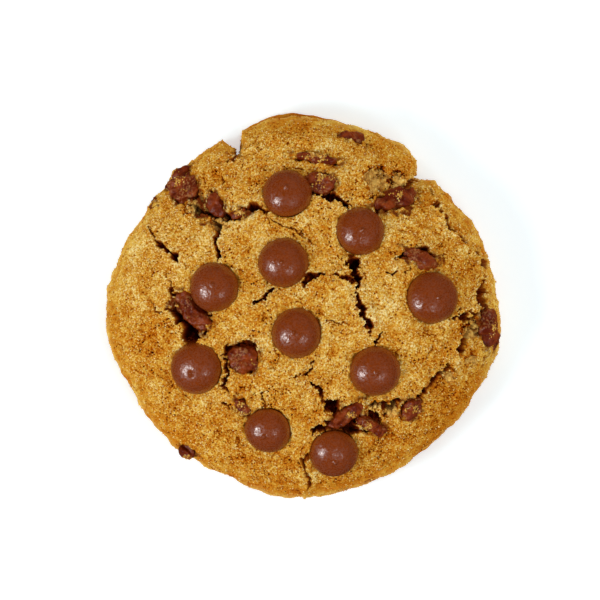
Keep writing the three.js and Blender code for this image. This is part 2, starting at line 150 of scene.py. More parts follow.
# Broken pieces: x, y, length, width, depth, turn in degrees, and rise over the dough
CHUNKS = {
    "chunk_upper_left": (-24.6, 24.3, 6.4, 6.2, 4.6, 20, 0.5),
    "chunk_upper_left_rim": (-26.0, 26.8, 6.4, 2.3, 2.6, 40, 0.4),
    "chunk_upper_left_inner": (-18.2, 21.6, 5.4, 3.4, 3.0, -50, 0.4),
    "chunk_upper_crack": (-13.2, 19.5, 3.8, 2.0, 2.4, 5, -0.3),
    "chunk_upper_middle": (3.7, 26.1, 6.0, 4.0, 3.4, -12, 0.7),
    "chunk_upper_sliver": (2.8, 30.9, 8.0, 1.9, 2.0, -9, 0.6),
    "chunk_far_edge": (10.2, 35.3, 5.2, 2.3, 2.0, -12, 0.4),
    "chunk_upper_right": (19.2, 22.2, 9.8, 3.8, 3.4, 20, 0.6),
    "chunk_right_middle": (24.2, 10.4, 6.8, 3.0, 2.8, -20, 0.5),
    "chunk_right_rim": (38.5, -4.4, 9.0, 3.8, 4.4, -76, 0.4),
    "chunk_left": (-22.8, -0.9, 9.4, 4.2, 3.6, -52, 0.1),
    "chunk_lower_left": (-12.3, -10.6, 6.4, 6.2, 4.4, 0, 0.4),
    "chunk_lower_crack": (-12.5, -20.9, 4.2, 2.2, 2.2, -40, 0.3),
    "chunk_lower_middle": (9.0, -22.4, 8.2, 2.9, 3.0, 38, 0.5),
    "chunk_lower_inner": (14.0, -24.6, 6.6, 2.7, 2.8, -24, 0.5),
    "chunk_lower_right": (22.6, -21.2, 4.4, 3.8, 3.0, 25, 0.3),
    "chunk_near_rim": (-24.0, -30.0, 3.2, 2.4, 2.4, -38, 0.4),
}
# The power of their blocky outline, where 2 is an ellipse
CHUNK_SQUARENESS = 2.4

# How much more or less brown it is here and there, partly as the oven toasted it and partly painted light
# and shade that evens out the lamps across the top: x, y, spread and amount
BROWNING_AND_PAINTED_LIGHT = (
    (1, 34, 11, 0.01), (9, 25, 5, -0.10), (25, 17, 6, 0.02), (34, 9, 7, 0.01), (-9, -35, 8, 0.09),
    (-24, -26, 8, 0.07), (-34, -11, 8, 0.05), (27, -25, 10, 0.12), (34, -14, 6, 0.06), (14, -36, 8, 0.10),
    (15, 1, 6, -0.17), (-14, 17, 7, -0.15), (-34, 14, 7, -0.03), (25, -8, 5, -0.04), (-2, 40, 3.5, 0.12),
    (-30, 11, 9, -0.09), (3, 22, 5, -0.05), (0, 0, 16, -0.03),
)


def bell(distance, spread):
    """A bell curve that is 1 at no distance and falls away over the spread."""
    return np.exp(-((distance / spread) ** 2))


def ease(value):
    """From 0 to 1 as the value goes from 0 to 1, with a soft start and end."""
    t = np.clip(value, 0, 1)
    return t * t * (3 - 2 * t)


def degrees_from(turn, at):
    """How far a turn in radians is from an angle in degrees, from -180 to 180 degrees."""
    return (np.degrees(turn) - at + 180) % 360 - 180


def outline_radius(turn):
    """The mean radius with a bell-shaped bulge at each of the waves' angles."""
    radius = MEAN_RADIUS
    for at, spread, out in OUTLINE_WAVES:
        radius = radius + out * bell(degrees_from(turn, at), spread)
    return radius


def unevenness(x, y, dome):
    """Broad lumps, a sine by a cosine, and the hollows and swellings, all level at the rim."""
    up = LUMPS_UP * np.sin(x / LUMPS_ALONG_X) * np.cos(y / LUMPS_ALONG_Y)
    for at_x, at_y, spread, height in TOP_SWELLS:
        up = up + height * bell(np.hypot(x - at_x, y - at_y), spread)
    return up * np.minimum(1, LEVEL_RIM * dome)


def top_height(x, y):
    """The shoulder's height, plus the dome, which is the root of 1 less a power of the share of the
    outline's radius, plus the unevenness."""
    share = np.minimum(np.hypot(x, y) / outline_radius(np.arctan2(y, x)), 1)
    dome = (1 - share**DOME_ROUNDNESS) ** (1 / DOME_FULLNESS)
    return SHOULDER_HEIGHT + (CROWN_HEIGHT - SHOULDER_HEIGHT) * dome + unevenness(x, y, dome)


def lie_of_top(x, y, reach):
    """Three unit vectors as rows, along, across and out of the top, from its slope over the reach."""
    rise_x = (top_height(x + reach, y) - top_height(x - reach, y)) / (2 * reach)
    rise_y = (top_height(x, y + reach) - top_height(x, y - reach)) / (2 * reach)
    out = np.array([-rise_x, -rise_y, 1.0])
    out /= np.linalg.norm(out)
    # The turn that brings +Z to that slope, with no twist about it
    across = np.array([-out[0] * out[1] / (1 + out[2]), 1 - out[1] ** 2 / (1 + out[2]), -out[1]])
    return np.array([np.cross(across, out), across, out])


# Added to every place in a lattice, so that no cell has a number below 0
LATTICE_START = 1000
# Brings the blended slopes to about -1 to 1
BUMP_GAIN = 1.6


def cell_numbers(cells, seed):
    """Three repeatable random numbers from -1 to 1 for each whole-numbered cell: its place and the
    seed are mixed to 32 bits, and ten of them make each number."""
    mixed = cells[..., 0] * np.uint32(73856093) ^ cells[..., 1] * np.uint32(19349663)
    mixed = mixed ^ cells[..., 2] * np.uint32(83492791) ^ np.uint32(seed * 40503 + 977)
    for shift, factor in ((15, 2246822519), (13, 3266489917)):
        mixed = (mixed ^ (mixed >> np.uint32(shift))) * np.uint32(factor)
    mixed = mixed ^ (mixed >> np.uint32(16))
    return [(mixed >> np.uint32(bit) & np.uint32(1023)) / 511.5 - 1 for bit in (0, 10, 20)]


def bumps(points, size, seed):
    """Soft unevenness from about -1 to 1 with lumps of that size: each corner of a lattice has a
    random slope, and the slopes of the eight corners around a point are blended there."""
    scaled = points / size + LATTICE_START
    cell = np.floor(scaled)
    inside = scaled - cell
    cell = cell.astype(np.uint32)
    blend = inside**3 * (inside * (inside * 6 - 15) + 10)
    total = np.zeros(len(points))
    for corner in np.ndindex(2, 2, 2):
        slopes = cell_numbers(cell + np.array(corner, np.uint32), seed)
        share = [blend[:, k] if corner[k] else 1 - blend[:, k] for k in range(3)]
        rise = sum(slopes[k] * (inside[:, k] - corner[k]) for k in range(3))
        total += share[0] * share[1] * share[2] * rise
    return BUMP_GAIN * total


def grains(points, size, seed):
    """The distance to the nearest of a scatter of grain centres, one in each cell of a lattice of
    that size, as a share of the size: 0 in the middle of a grain, and most often under 1."""
    scaled = points / size + LATTICE_START
    cell = np.floor(scaled)
    inside = scaled - cell
    cell = cell.astype(np.uint32)
    nearest = np.full(len(points), 9.0)
    for corner in np.ndindex(3, 3, 3):
        centre = cell_numbers(cell + np.array(corner, np.uint32), seed)
        square = sum((corner[k] - 0.5 + 0.5 * centre[k] - inside[:, k]) ** 2 for k in range(3))
        nearest = np.minimum(nearest, square)
    return np.sqrt(nearest)


def nearest_on_path(flat, path):
    """For each flat point: the distance to a path of straight stretches, how far along the path the
    nearest point is from 0 to 1, and 1 on its left or -1 on its right."""
    corners = np.array(path, float)
    spans = np.diff(corners, axis=0)
    lengths = np.hypot(spans[:, 0], spans[:, 1])
    before = np.concatenate([[0], np.cumsum(lengths)])
    distance = np.full(len(flat), np.inf)
    along = np.zeros(len(flat))
    side = np.zeros(len(flat))
    for corner, span, length, start in zip(corners, spans, lengths, before):
        offset = flat - corner
        t = np.clip(offset @ span / length**2, 0, 1)
        gap = offset - t[:, None] * span
        here = np.hypot(gap[:, 0], gap[:, 1])
        nearer = here < distance
        distance = np.where(nearer, here, distance)
        along = np.where(nearer, (start + t * length) / before[-1], along)
        side = np.where(nearer, np.sign(span[0] * offset[:, 1] - span[1] * offset[:, 0]), side)
    return distance, along, side


# The section from the crown to the foot, with its length shared evenly
DOME_STEPS, WALL_STEPS = 240, 60
swing = np.linspace(0, np.pi / 2, DOME_STEPS)
wall_level = np.linspace(SHOULDER_HEIGHT, 0, WALL_STEPS)[1:]
section_share = np.concatenate([np.sin(swing), np.ones(len(wall_level))])
section_dome = (1 - np.sin(swing) ** DOME_ROUNDNESS) ** (1 / DOME_FULLNESS)
section_level = np.concatenate(
    [SHOULDER_HEIGHT + (CROWN_HEIGHT - SHOULDER_HEIGHT) * section_dome, wall_level])
section_steps = np.hypot(np.diff(section_share) * MEAN_RADIUS, np.diff(section_level))
section_along = np.concatenate([[0], np.cumsum(section_steps)]) / section_steps.sum()


def dough_surface(u, v):
    """A point of the smooth dough for each u and v from -1 to 1. The larger of the two is how far
    along the section from the crown to the foot, and their ratio is the angle, so that a square grid
    covers the round top in cells of much the same size. The wall leans in under the shoulder by a
    square law, the foot stands out again, and the notches pull the rim in."""
    along = np.maximum(np.abs(u), np.abs(v))
    sideways = np.abs(u) >= np.abs(v)
    larger = np.where(sideways, u, v)
    ratio = np.where(sideways, v, u) / np.where(larger == 0, 1, larger)
    turn = np.where(sideways, ratio * np.pi / 4, np.pi / 2 - ratio * np.pi / 4)
    turn = turn + np.pi * (larger < 0)
    share = np.interp(along, section_along, section_share)
    level = np.interp(along, section_along, section_level)
    radius = outline_radius(turn)
    below = np.clip((SHOULDER_HEIGHT - level) / SHOULDER_HEIGHT, 0, 1)
    at, spread, out = FOOT_BULGE
    foot = FOOT_EVEN + out * bell(degrees_from(turn, at), spread)
    foot = foot * ease((FOOT_TOP - level) / (FOOT_TOP - FOOT_HEIGHT))
    rounding = FOOT_ROUND * (1 - np.sqrt(1 - np.clip(1 - level / FOOT_ROUND, 0, 1) ** 2))
    reach = share * radius - BASE_TUCK * below**2 + foot - rounding
    for at, half, deep in RIM_NOTCHES:
        aside = np.abs(degrees_from(turn, at)) * np.pi / 180 * radius
        pull = deep * np.clip(1 - aside / half, 0, 1)
        reach = reach - pull * ease((share - NOTCH_FROM) / (1 - NOTCH_FROM))
    x = reach * np.cos(turn)
    y = reach * np.sin(turn)
    dome = np.clip((level - SHOULDER_HEIGHT) / (CROWN_HEIGHT - SHOULDER_HEIGHT), 0, 1)
    return np.stack([x, y, level + unevenness(x, y, dome)], -1)


# A quarter of the grid has this many cells a side, and a cell is about 0.15 mm
QUARTER = 300
line = np.linspace(-1, 1, 2 * QUARTER + 1)
grid_u, grid_v = np.meshgrid(line, line, indexing="ij")
smooth = dough_surface(grid_u, grid_v)
outwards = np.cross(np.gradient(smooth, axis=0), np.gradient(smooth, axis=1))
outwards /= np.linalg.norm(outwards, axis=-1, keepdims=True)
smooth = smooth.reshape(-1, 3)
outwards = outwards.reshape(-1, 3)

height = smooth[:, 2]


def layer(size, high, seed):
    """Bumps of the smooth dough's surface, with their size and height in millimetres."""
    return high * bumps(smooth, size, seed)


# Torn edges wander, so the cracks are measured from a wandering copy of the surface. Each layer of
# the wander has a size, a reach and a seed
WANDER = ((2.8, 0.9, 11), (1.2, 0.55, 21), (0.55, 0.4, 31))
RAGGED_SIZE, LEDGE_SIZE = 1.5, 1.1
wander = np.stack([sum(layer(size, reach, seed + k) for size, reach, seed in WANDER)
                   for k in range(2)], -1)
flat = smooth[:, :2] + wander
ragged = bumps(smooth, RAGGED_SIZE, 41)
ledges = bumps(smooth, LEDGE_SIZE, 42)

# A crack is a ditch with steep torn walls, a sloping floor with ledges, and narrow tips. Its lips
# curl up, and the plate beside it is lifted and comes down again within the reach
CRACK_REACH = 7.0
TAPER_RATE, TIP_SHARE = 7, 0.35
EVEN_WIDTH, RAGGED_WIDTH = 1.4, 0.6
TORN_WALL = 0.3
SLOPE_SHARE, SLOPE_LEAST, SLOPE_MOST = 0.7, 0.1, 0.5
EDGE_DEPTH, MIDDLE_DEPTH, LEDGE_DEPTH = 0.35, 0.65, 0.5
LEAST_DEPTH, MOST_DEPTH = 0.15, 1.3
LIP_SPREAD, LIFT_SPREAD, CRUMBLED_SPREAD = 0.7, 2.6, 1.0
DEEP_CRACK = 2.4
torn_depth = np.zeros(len(smooth))
lips = np.zeros(len(smooth))
lift = np.zeros(len(smooth))
near_crack = np.zeros(len(smooth))
for width_from, width_to, deep, step, path in CRACKS.values():
    low, high = np.min(path, axis=0) - CRACK_REACH, np.max(path, axis=0) + CRACK_REACH
    near = np.flatnonzero(((flat > low) & (flat < high)).all(1))
    distance, along, side = nearest_on_path(flat[near], path)
    taper = np.clip(np.minimum(along, 1 - along) * TAPER_RATE, TIP_SHARE, 1)
    half = 0.5 * (width_from + (width_to - width_from) * along) * taper
    half = half * (EVEN_WIDTH + RAGGED_WIDTH * ragged[near])
    outside = distance - half
    inside = ease(-outside / TORN_WALL)
    middle = ease(-outside / np.clip(SLOPE_SHARE * half, SLOPE_LEAST, SLOPE_MOST))
    bed = EDGE_DEPTH + MIDDLE_DEPTH * middle + LEDGE_DEPTH * ledges[near]
    depth = inside * deep * taper * np.clip(bed, LEAST_DEPTH, MOST_DEPTH)
    torn_depth[near] = np.maximum(torn_depth[near], depth)
    edge = np.maximum(outside, 0)
    lip = bell(edge, LIP_SPREAD) * (1 - inside) * min(1, width_from)
    lips[near] = np.maximum(lips[near], lip)
    raise_by = step * side * np.exp(-edge / LIFT_SPREAD) * (1 - inside) * taper
    lift[near] += raise_by * (1 - ease(edge / CRACK_REACH))
    crumbled = bell(edge, CRUMBLED_SPREAD) * min(1, deep / DEEP_CRACK)
    near_crack[near] = np.maximum(near_crack[near], crumbled)

# Where a flake of crust is gone, its rim on the side up and to the left is darkened: painted shade of the
# wall that faces away from the left soft box
PATCH_RAGGED = 0.3
RIM_INSET, RIM_SPREAD, RIM_FROM, RIM_OVER = 0.1, 0.6, 0.6, 2
pale = np.zeros(len(smooth))
torn_rim_shade = np.zeros(len(smooth))
for x, y, radius in TORN_PATCHES:
    outside = np.hypot(flat[:, 0] - x, flat[:, 1] - y) - radius * (1 + PATCH_RAGGED * ragged)
    inside = ease(-outside / TORN_WALL)
    pale = np.maximum(pale, inside)
    up_left = smooth[:, 1] - y - smooth[:, 0] + x
    rim = bell(outside + RIM_INSET, RIM_SPREAD) * ease(RIM_FROM + up_left / RIM_OVER)
    torn_rim_shade = np.maximum(torn_rim_shade, rim)

# Seats under the whole chips, with a fine gap where crust and chip part
SEAT_DEPTH, SEAT_INSET = 1.8, 0.1
GAP_DEPTH, GAP_SPREAD = 0.9, 0.25
seat_depth = np.zeros(len(smooth))
for x, y, radius in CHIPS:
    lie = lie_of_top(x, y, radius * CHIP_BEARING)
    local = (smooth - np.array([x, y, top_height(x, y)])) @ lie.T
    outside = np.hypot(local[:, 0], local[:, 1]) - radius
    gap = np.clip(GAP_DEPTH * ragged, 0, 1) * bell(outside, GAP_SPREAD)
    seat = SEAT_DEPTH * ease((-SEAT_INSET - outside) / TORN_WALL)
    seat_depth = np.maximum(seat_depth, np.maximum(seat, gap))

# Pockets around the broken pieces, with ragged edges, stained where the chocolate melted, and the
# smears where it ran on the crumb
POCKET_WANDER = 0.5
POCKET_DEPTH, POCKET_GAP, POCKET_RAGGED, POCKET_WALL = 1.9, 0.05, 0.5, 0.35
STAIN_FROM, STAIN_SPREAD, STAIN_EVEN = 0.1, 0.6, 0.4
SMEAR_RAGGED, SMEAR_WALL, SMEAR_EVEN = 0.4, 0.4, 0.85
STAIN_LEDGES = 1.6
pocket_depth = np.zeros(len(smooth))
stain = np.zeros(len(smooth))
for x, y, length, width, depth, turn, rise in CHUNKS.values():
    lie = lie_of_top(x, y, width / 2)
    local = (smooth - np.array([x, y, top_height(x, y)])) @ lie.T
    cos, sin = np.cos(np.radians(turn)), np.sin(np.radians(turn))
    along = cos * local[:, 0] + sin * local[:, 1] + wander[:, 0] * POCKET_WANDER
    across = cos * local[:, 1] - sin * local[:, 0] + wander[:, 1] * POCKET_WANDER
    along = np.abs(along) / (length / 2)
    across = np.abs(across) / (width / 2)
    share = (along**CHUNK_SQUARENESS + across**CHUNK_SQUARENESS) ** (1 / CHUNK_SQUARENESS)
    outside = (share - 1) * width / 2
    pocket = POCKET_DEPTH * ease((POCKET_GAP + POCKET_RAGGED * ragged - outside) / POCKET_WALL)
    pocket_depth = np.maximum(pocket_depth, pocket)
    melted = bell(np.maximum(outside - STAIN_FROM, 0), STAIN_SPREAD)
    stain = np.maximum(stain, melted * ease(STAIN_EVEN + STAIN_LEDGES * ledges))
for x, y, radius in SMEARS:
    outside = np.hypot(flat[:, 0] - x, flat[:, 1] - y) - radius * (1 + SMEAR_RAGGED * ragged)
    melted = ease(-outside / SMEAR_WALL)
    stain = np.maximum(stain, melted * ease(SMEAR_EVEN + STAIN_LEDGES * ledges))

# The crust is sandy on the top and smoother on the side wall. Swells have a size and a height, sand
# and crumb are the distance to the nearest grain, and pinholes are steam holes
SMOOTH_WALL, SANDY_FROM, SANDY_OVER = 0.25, 7, 7
BROAD_SWELL, SWELL, LUMP = (6.5, 0.42), (2.8, 0.42), (1.3, 0.26)
SMOOTH_SWELL = 0.4
SAND_GRAIN, CRUMB_GRAIN, GRAIN_MIDDLE = 0.5, 1.25, 0.55
PINHOLE_APART, PINHOLE_SIZE, PINHOLE_EDGE = 0.8, 0.27, 0.08
PINHOLE_PATCH, PINHOLE_EVEN, PINHOLE_AT_CRACK = (3.0, 2), 0.3, 0.5
crumbly = SMOOTH_WALL + (1 - SMOOTH_WALL) * ease((height - SANDY_FROM) / SANDY_OVER)
swells = layer(*SWELL, 52) + layer(*LUMP, 53)
swells = layer(*BROAD_SWELL, 51) + swells * (SMOOTH_SWELL + (1 - SMOOTH_SWELL) * crumbly)
sand = GRAIN_MIDDLE - grains(smooth, SAND_GRAIN, 54)
coarse = GRAIN_MIDDLE - grains(smooth, CRUMB_GRAIN, 55)
fine = bumps(smooth, SAND_GRAIN, 56)
pinholes = ease((PINHOLE_SIZE - grains(smooth, PINHOLE_APART, 57)) / PINHOLE_EDGE)
pinholes = pinholes * ease(PINHOLE_EVEN + layer(*PINHOLE_PATCH, 58) + PINHOLE_AT_CRACK * near_crack)

# Folds lie flat around the side wall, where the dough slumped as it set
FOLD_SIZE, FOLD_STRETCH = 2.4, np.array([0.32, 0.32, 1.3])
FINE_FOLD_SIZE, FINE_FOLD_STRETCH = 1.1, np.array([0.4, 0.4, 1.3])
FOLDS_BELOW, FOLDS_OVER = 12, 6
folds = bumps(smooth * FOLD_STRETCH, FOLD_SIZE, 59)
folds = folds + 0.5 * bumps(smooth * FINE_FOLD_STRETCH, FINE_FOLD_SIZE, 60)
folds = folds * ease((FOLDS_BELOW - height) / FOLDS_OVER)

# Hair slits run where a layer of soft bumps crosses its middle, in some places only
SLIT_WANDER, SLIT_SIZE, SLIT_HALF, SLIT_WALL = 0.8, 2.6, 0.06, 0.05
SLIT_PATCH, SLIT_RARE = (3.5, 4), 0.4
warped = smooth + np.pad(wander, ((0, 0), (0, 1))) * SLIT_WANDER
slits = ease((SLIT_HALF - np.abs(bumps(warped, SLIT_SIZE, 64))) / SLIT_WALL)
slits = slits * ease(layer(*SLIT_PATCH, 65) - SLIT_RARE) * crumbly

# How far each of these raises the crust or sinks it, in millimetres
SAND_UP, CRUMB_UP, FINE_UP, FOLD_UP, LIP_UP = 0.24, 0.12, 0.08, 0.6, 0.25
TORN_FROM, TORN_CRUMB_UP, TORN_FINE_UP = 0.4, 0.9, 0.25
PATCH_CRUMB_UP, PATCH_LEDGE_UP, PATCH_SINK = 1.5, 0.6, 0.9
RIM_SWELL, RIM_LUMP, RIM_BELOW, RIM_FADE = (4.0, 0.25), (1.4, 0.08), 9, 4
PINHOLE_SINK, SLIT_SINK = 0.35, 0.5
SEAT_CALM = 0.8
BASE_EDGE = 1.6
torn = ease(torn_depth / TORN_FROM)
raised = swells + (SAND_UP * sand + CRUMB_UP * coarse + FINE_UP * fine) * crumbly
raised = raised + FOLD_UP * folds + LIP_UP * lips + lift
raised = raised + (TORN_CRUMB_UP * coarse + TORN_FINE_UP * fine) * np.maximum(near_crack * 0.5, torn)
raised = raised + pale * (PATCH_CRUMB_UP * coarse + PATCH_LEDGE_UP * ledges - PATCH_SINK)
raised = raised + (layer(*RIM_SWELL, 66) + layer(*RIM_LUMP, 67)) * ease((RIM_BELOW - height) / RIM_FADE)
sunk = np.maximum.reduce([torn_depth, seat_depth, pocket_depth])
sunk = sunk + PINHOLE_SINK * pinholes + SLIT_SINK * slits
moved = (raised * (1 - SEAT_CALM * ease(seat_depth)) - sunk) * ease(height / BASE_EDGE)
crust = smooth + outwards * moved[:, None]
crust[:, 2] = np.maximum(crust[:, 2], 0)

# How brown each point is: 0 is pale sugar, 0.5 golden and 1 scorched. The oven toasts the side wall and the
# foot more. The low places between grains, the pinholes and the slits are browner than the grains that
# stand up, partly toasted and partly painted shade of these hollows, and the rim up and to the left of a
# torn place is painted shade
GOLDEN = 0.43
WALL_TOAST, WALL_BELOW, WALL_OVER = 0.08, 12, 10
FOOT_TOAST, FOOT_BELOW, FOOT_OVER = 0.06, 3, 2
BROWN_CLOUD, BROWN_PATCH = (5.0, 0.17), (1.7, 0.16)
SAND_LIGHTER, FINE_LIGHTER, SWELL_LIGHTER, CRACK_LIGHTER, FOLD_LIGHTER = 0.30, 0.16, 0.12, 0.16, 0.16
PINHOLE_DARKER, SLIT_DARKER, TORN_RIM_PAINTED_SHADE, TORN_CRUMB_DARKER = 0.62, 0.35, 0.5, 0.45
browning_and_shade = GOLDEN + WALL_TOAST * ease((WALL_BELOW - height) / WALL_OVER)
browning_and_shade = browning_and_shade + FOOT_TOAST * ease((FOOT_BELOW - height) / FOOT_OVER)
for x, y, spread, amount in BROWNING_AND_PAINTED_LIGHT:
    browning_and_shade = browning_and_shade + amount * bell(np.hypot(smooth[:, 0] - x, smooth[:, 1] - y), spread)
browning_and_shade = browning_and_shade + layer(*BROWN_CLOUD, 61) + layer(*BROWN_PATCH, 62)
# Painted shade: the hollows between grains, the pinholes and the slits are darkened past their toasting,
# and the torn rim term below darkens the up-left wall of a torn place
browning_and_shade = browning_and_shade - (SAND_LIGHTER * sand + FINE_LIGHTER * fine) * crumbly
browning_and_shade = browning_and_shade - SWELL_LIGHTER * swells - CRACK_LIGHTER * near_crack * (ledges > -0.1)
browning_and_shade = browning_and_shade + (PINHOLE_DARKER * pinholes + SLIT_DARKER * slits) * crumbly
browning_and_shade = browning_and_shade - FOLD_LIGHTER * folds + TORN_RIM_PAINTED_SHADE * torn_rim_shade
# Bare crumb is pale on its lumps only, and a tan band runs around the side wall
CRUMB_EVEN, CRUMB_LUMPS = 0.7, 1.8
TAN_SHARE, TAN_HEIGHT, TAN_SPREAD, TAN_EVEN = 0.5, 5.0, 2.4, 0.6
crumb_lumps = ease(CRUMB_EVEN + CRUMB_LUMPS * coarse)
browning_and_shade = browning_and_shade + TORN_CRUMB_DARKER * pale * (1 - crumb_lumps)
tan_edge = TAN_SHARE * bell(height - TAN_HEIGHT, TAN_SPREAD) * ease(TAN_EVEN + ledges + folds)
paleness = np.maximum(pale * crumb_lumps * (1 - torn_rim_shade), tan_edge)
# How deep in a crack, a pocket or a seat each point lies, which darkens the torn crumb there: partly the
# crumb's and the melted chocolate's own dark, partly painted shade of the crack and pocket, and only
# painted shade in the fine gap around the chips
POCKET_DARK_AND_SHADE, SEAT_PAINTED_SHADE, DARKEST_DEPTH = 0.8, 0.5, 3
crumb_dark_and_shade = np.maximum.reduce([torn_depth, POCKET_DARK_AND_SHADE * pocket_depth, SEAT_PAINTED_SHADE * seat_depth])
crumb_dark_and_shade = crumb_dark_and_shade / DARKEST_DEPTH


def linear(hex_colour):
    """A colour written as sRGB hex, as the linear red, green, blue and alpha that shaders take."""
    value = np.array([int(hex_colour[i:i + 2], 16) for i in (1, 3, 5)]) / 255
    value = np.where(value <= 0.04045, value / 12.92, ((value + 0.055) / 1.055) ** 2.4)
    return (*value.tolist(), 1.0)


def add_node(tree, kind, sockets=None, **settings):
    """Adds a shader node with its settings. A socket is given a value or another node's output."""
    made = tree.nodes.new(kind)
    for key, value in settings.items():
        setattr(made, key, value)
    for key, value in (sockets or {}).items():
        if isinstance(value, bpy.types.NodeSocket):
            tree.links.new(value, made.inputs[key])
        else:
            made.inputs[key].default_value = value
    return made


def start_material(name):
    """A material with nothing in its shader tree yet, and the tree."""
    material = bpy.data.materials.new(name)
    material.use_nodes = True
    material.node_tree.nodes.clear()
    return material, material.node_tree


# Baked brown sugar crust: dry and matt, from pale sugar grains through gold to scorched pinholes, with
# painted shade in its cracks, its hollows and around the chips.
# Object coordinates are metres, so they are brought to millimetres for the patterns
TO_MM = (1000, 1000, 1000)
CRUST_TONES = ((0.0, "#fae6a4"), (0.22, "#e9be54"), (0.44, "#d3932b"), (0.64, "#c6700e"),
               (0.84, "#903703"), (1.0, "#431001"))
# Torn crumb from just under the crust down to a deep crack, darker with depth: partly the moist crumb's own
# colour, partly painted shade of the crack
CRUMB_AND_CRACK_SHADE_TONES = ((0.0, "#bc761e"), (0.3, "#94420c"), (0.6, "#6e2406"), (1.0, "#4c1204"))
CRUMB_PALE = "#f2ca6c"
MELTED = "#74300e"
# Sugar crystals measure 0.3 to 0.6 mm, which is wide enough to show as they are
SAND_SIZE, SAND_CONTRAST, SAND_RELIEF = 0.36, 1.15, 0.2 * MM
CRUMB_CONTRAST = 0.8
CRACK_EDGE = 0.12

crust_material, tree = start_material("baked_brown_sugar_crust")
place = add_node(tree, "ShaderNodeTexCoord")
in_mm = add_node(tree, "ShaderNodeMapping", {"Vector": place.outputs["Object"], "Scale": TO_MM})
sandy = add_node(tree, "ShaderNodeTexNoise",
                 {"Vector": in_mm.outputs[0], "Scale": 1 / SAND_SIZE, "Detail": 1.0, "Roughness": 0.5})
# The brown tones carry some painted shade, and the depth darkens the torn crumb, partly with painted shade
# of cracks, pockets and the gaps around the chips
brown = add_node(tree, "ShaderNodeAttribute", attribute_name="browning_and_shade")
deep = add_node(tree, "ShaderNodeAttribute", attribute_name="depth")
melt = add_node(tree, "ShaderNodeAttribute", attribute_name="stain")
flaked = add_node(tree, "ShaderNodeAttribute", attribute_name="pale")
grainy = add_node(tree, "ShaderNodeAttribute", attribute_name="grain")
speckled = add_node(tree, "ShaderNodeMath",
                    {0: sandy.outputs[0], 1: -SAND_CONTRAST, 2: SAND_CONTRAST / 2},
                    operation="MULTIPLY_ADD")
speckled = add_node(tree, "ShaderNodeMath",
                    {0: speckled.outputs[0], 1: grainy.outputs["Fac"], 2: brown.outputs["Fac"]},
                    operation="MULTIPLY_ADD")
crust_tone = add_node(tree, "ShaderNodeValToRGB", {0: speckled.outputs[0]})
crumbled = add_node(tree, "ShaderNodeMath",
                    {0: sandy.outputs[0], 1: CRUMB_CONTRAST, 2: -CRUMB_CONTRAST / 2},
                    operation="MULTIPLY_ADD")
crumbled = add_node(tree, "ShaderNodeMath",
                    {0: crumbled.outputs[0], 1: deep.outputs["Fac"]}, operation="ADD")
crumb_and_shade_tone = add_node(tree, "ShaderNodeValToRGB", {0: crumbled.outputs[0]})
for ramp, tones in ((crust_tone.color_ramp, CRUST_TONES), (crumb_and_shade_tone.color_ramp, CRUMB_AND_CRACK_SHADE_TONES)):
    while len(ramp.elements) < len(tones):
        ramp.elements.new(0.5)
    for element, (position, hex_colour) in zip(ramp.elements, tones):
        element.position = position
        element.color = linear(hex_colour)
in_crack = add_node(tree, "ShaderNodeMapRange", {"Value": deep.outputs["Fac"], "From Max": CRACK_EDGE})
colour = add_node(tree, "ShaderNodeMix",
                  {0: in_crack.outputs[0], 6: crust_tone.outputs[0], 7: crumb_and_shade_tone.outputs[0]},
                  data_type="RGBA")
colour = add_node(tree, "ShaderNodeMix",
                  {0: flaked.outputs["Fac"], 6: colour.outputs[2], 7: linear(CRUMB_PALE)}, data_type="RGBA")
colour = add_node(tree, "ShaderNodeMix",
                  {0: melt.outputs["Fac"], 6: colour.outputs[2], 7: linear(MELTED)}, data_type="RGBA")
relief = add_node(tree, "ShaderNodeBump",
                  {"Height": sandy.outputs[0], "Strength": 0.6, "Distance": SAND_RELIEF})
surface = add_node(tree, "ShaderNodeBsdfPrincipled",
                   {"Base Color": colour.outputs[2], "Roughness": 0.8, "Specular IOR Level": 0.0,
                    "Normal": relief.outputs[0]})
add_node(tree, "ShaderNodeOutputMaterial", {"Surface": surface.outputs[0]})


def add_piece(name, points, groups, material, slot, *nodes):
    """Makes a mesh piece from points in millimetres. Each group of faces is an array of corners, an array
    of their places on the piece's flat map, and whether the faces are shaded smooth. The piece rides on the
    cookie's one body, takes its finish from the material and stands for the nodes. The slot is not used."""
    mesh = bpy.data.meshes.new(name)
    corners = np.concatenate([faces.ravel() for faces, places, soft in groups])
    sizes = np.concatenate([np.full(len(faces), faces.shape[1]) for faces, places, soft in groups])
    mesh.vertices.add(len(points))
    mesh.vertices.foreach_set("co", (points * MM).astype(np.float32).ravel())
    mesh.loops.add(len(corners))
    mesh.loops.foreach_set("vertex_index", corners.astype(np.int32))
    mesh.polygons.add(len(sizes))
    mesh.polygons.foreach_set("loop_start", (np.cumsum(sizes) - sizes).astype(np.int32))
    mesh.update(calc_edges=True)
    soft_faces = np.concatenate([np.full(len(faces), soft) for faces, places, soft in groups])
    mesh.polygons.foreach_set("use_smooth", soft_faces)
    flat_map = mesh.uv_layers.new(name="OFBake")
    flat_map.uv.foreach_set("vector", np.concatenate(
        [places.reshape(-1, 2) for faces, places, soft in groups]).astype(np.float32).ravel())
    mesh.materials.append(material)
    piece = bpy.data.objects.new(name, mesh)
    bpy.context.scene.collection.objects.link(piece)
    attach(piece, "root")
    if nodes:
        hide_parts(*nodes)
    return piece


def add_tones(piece, tones):
    """Stores numbers on the piece's points for its material to read."""
    for name, values in tones.items():
        attribute = piece.data.attributes.new(name, "FLOAT", "POINT")
        attribute.data.foreach_set("value", values.astype(np.float32))


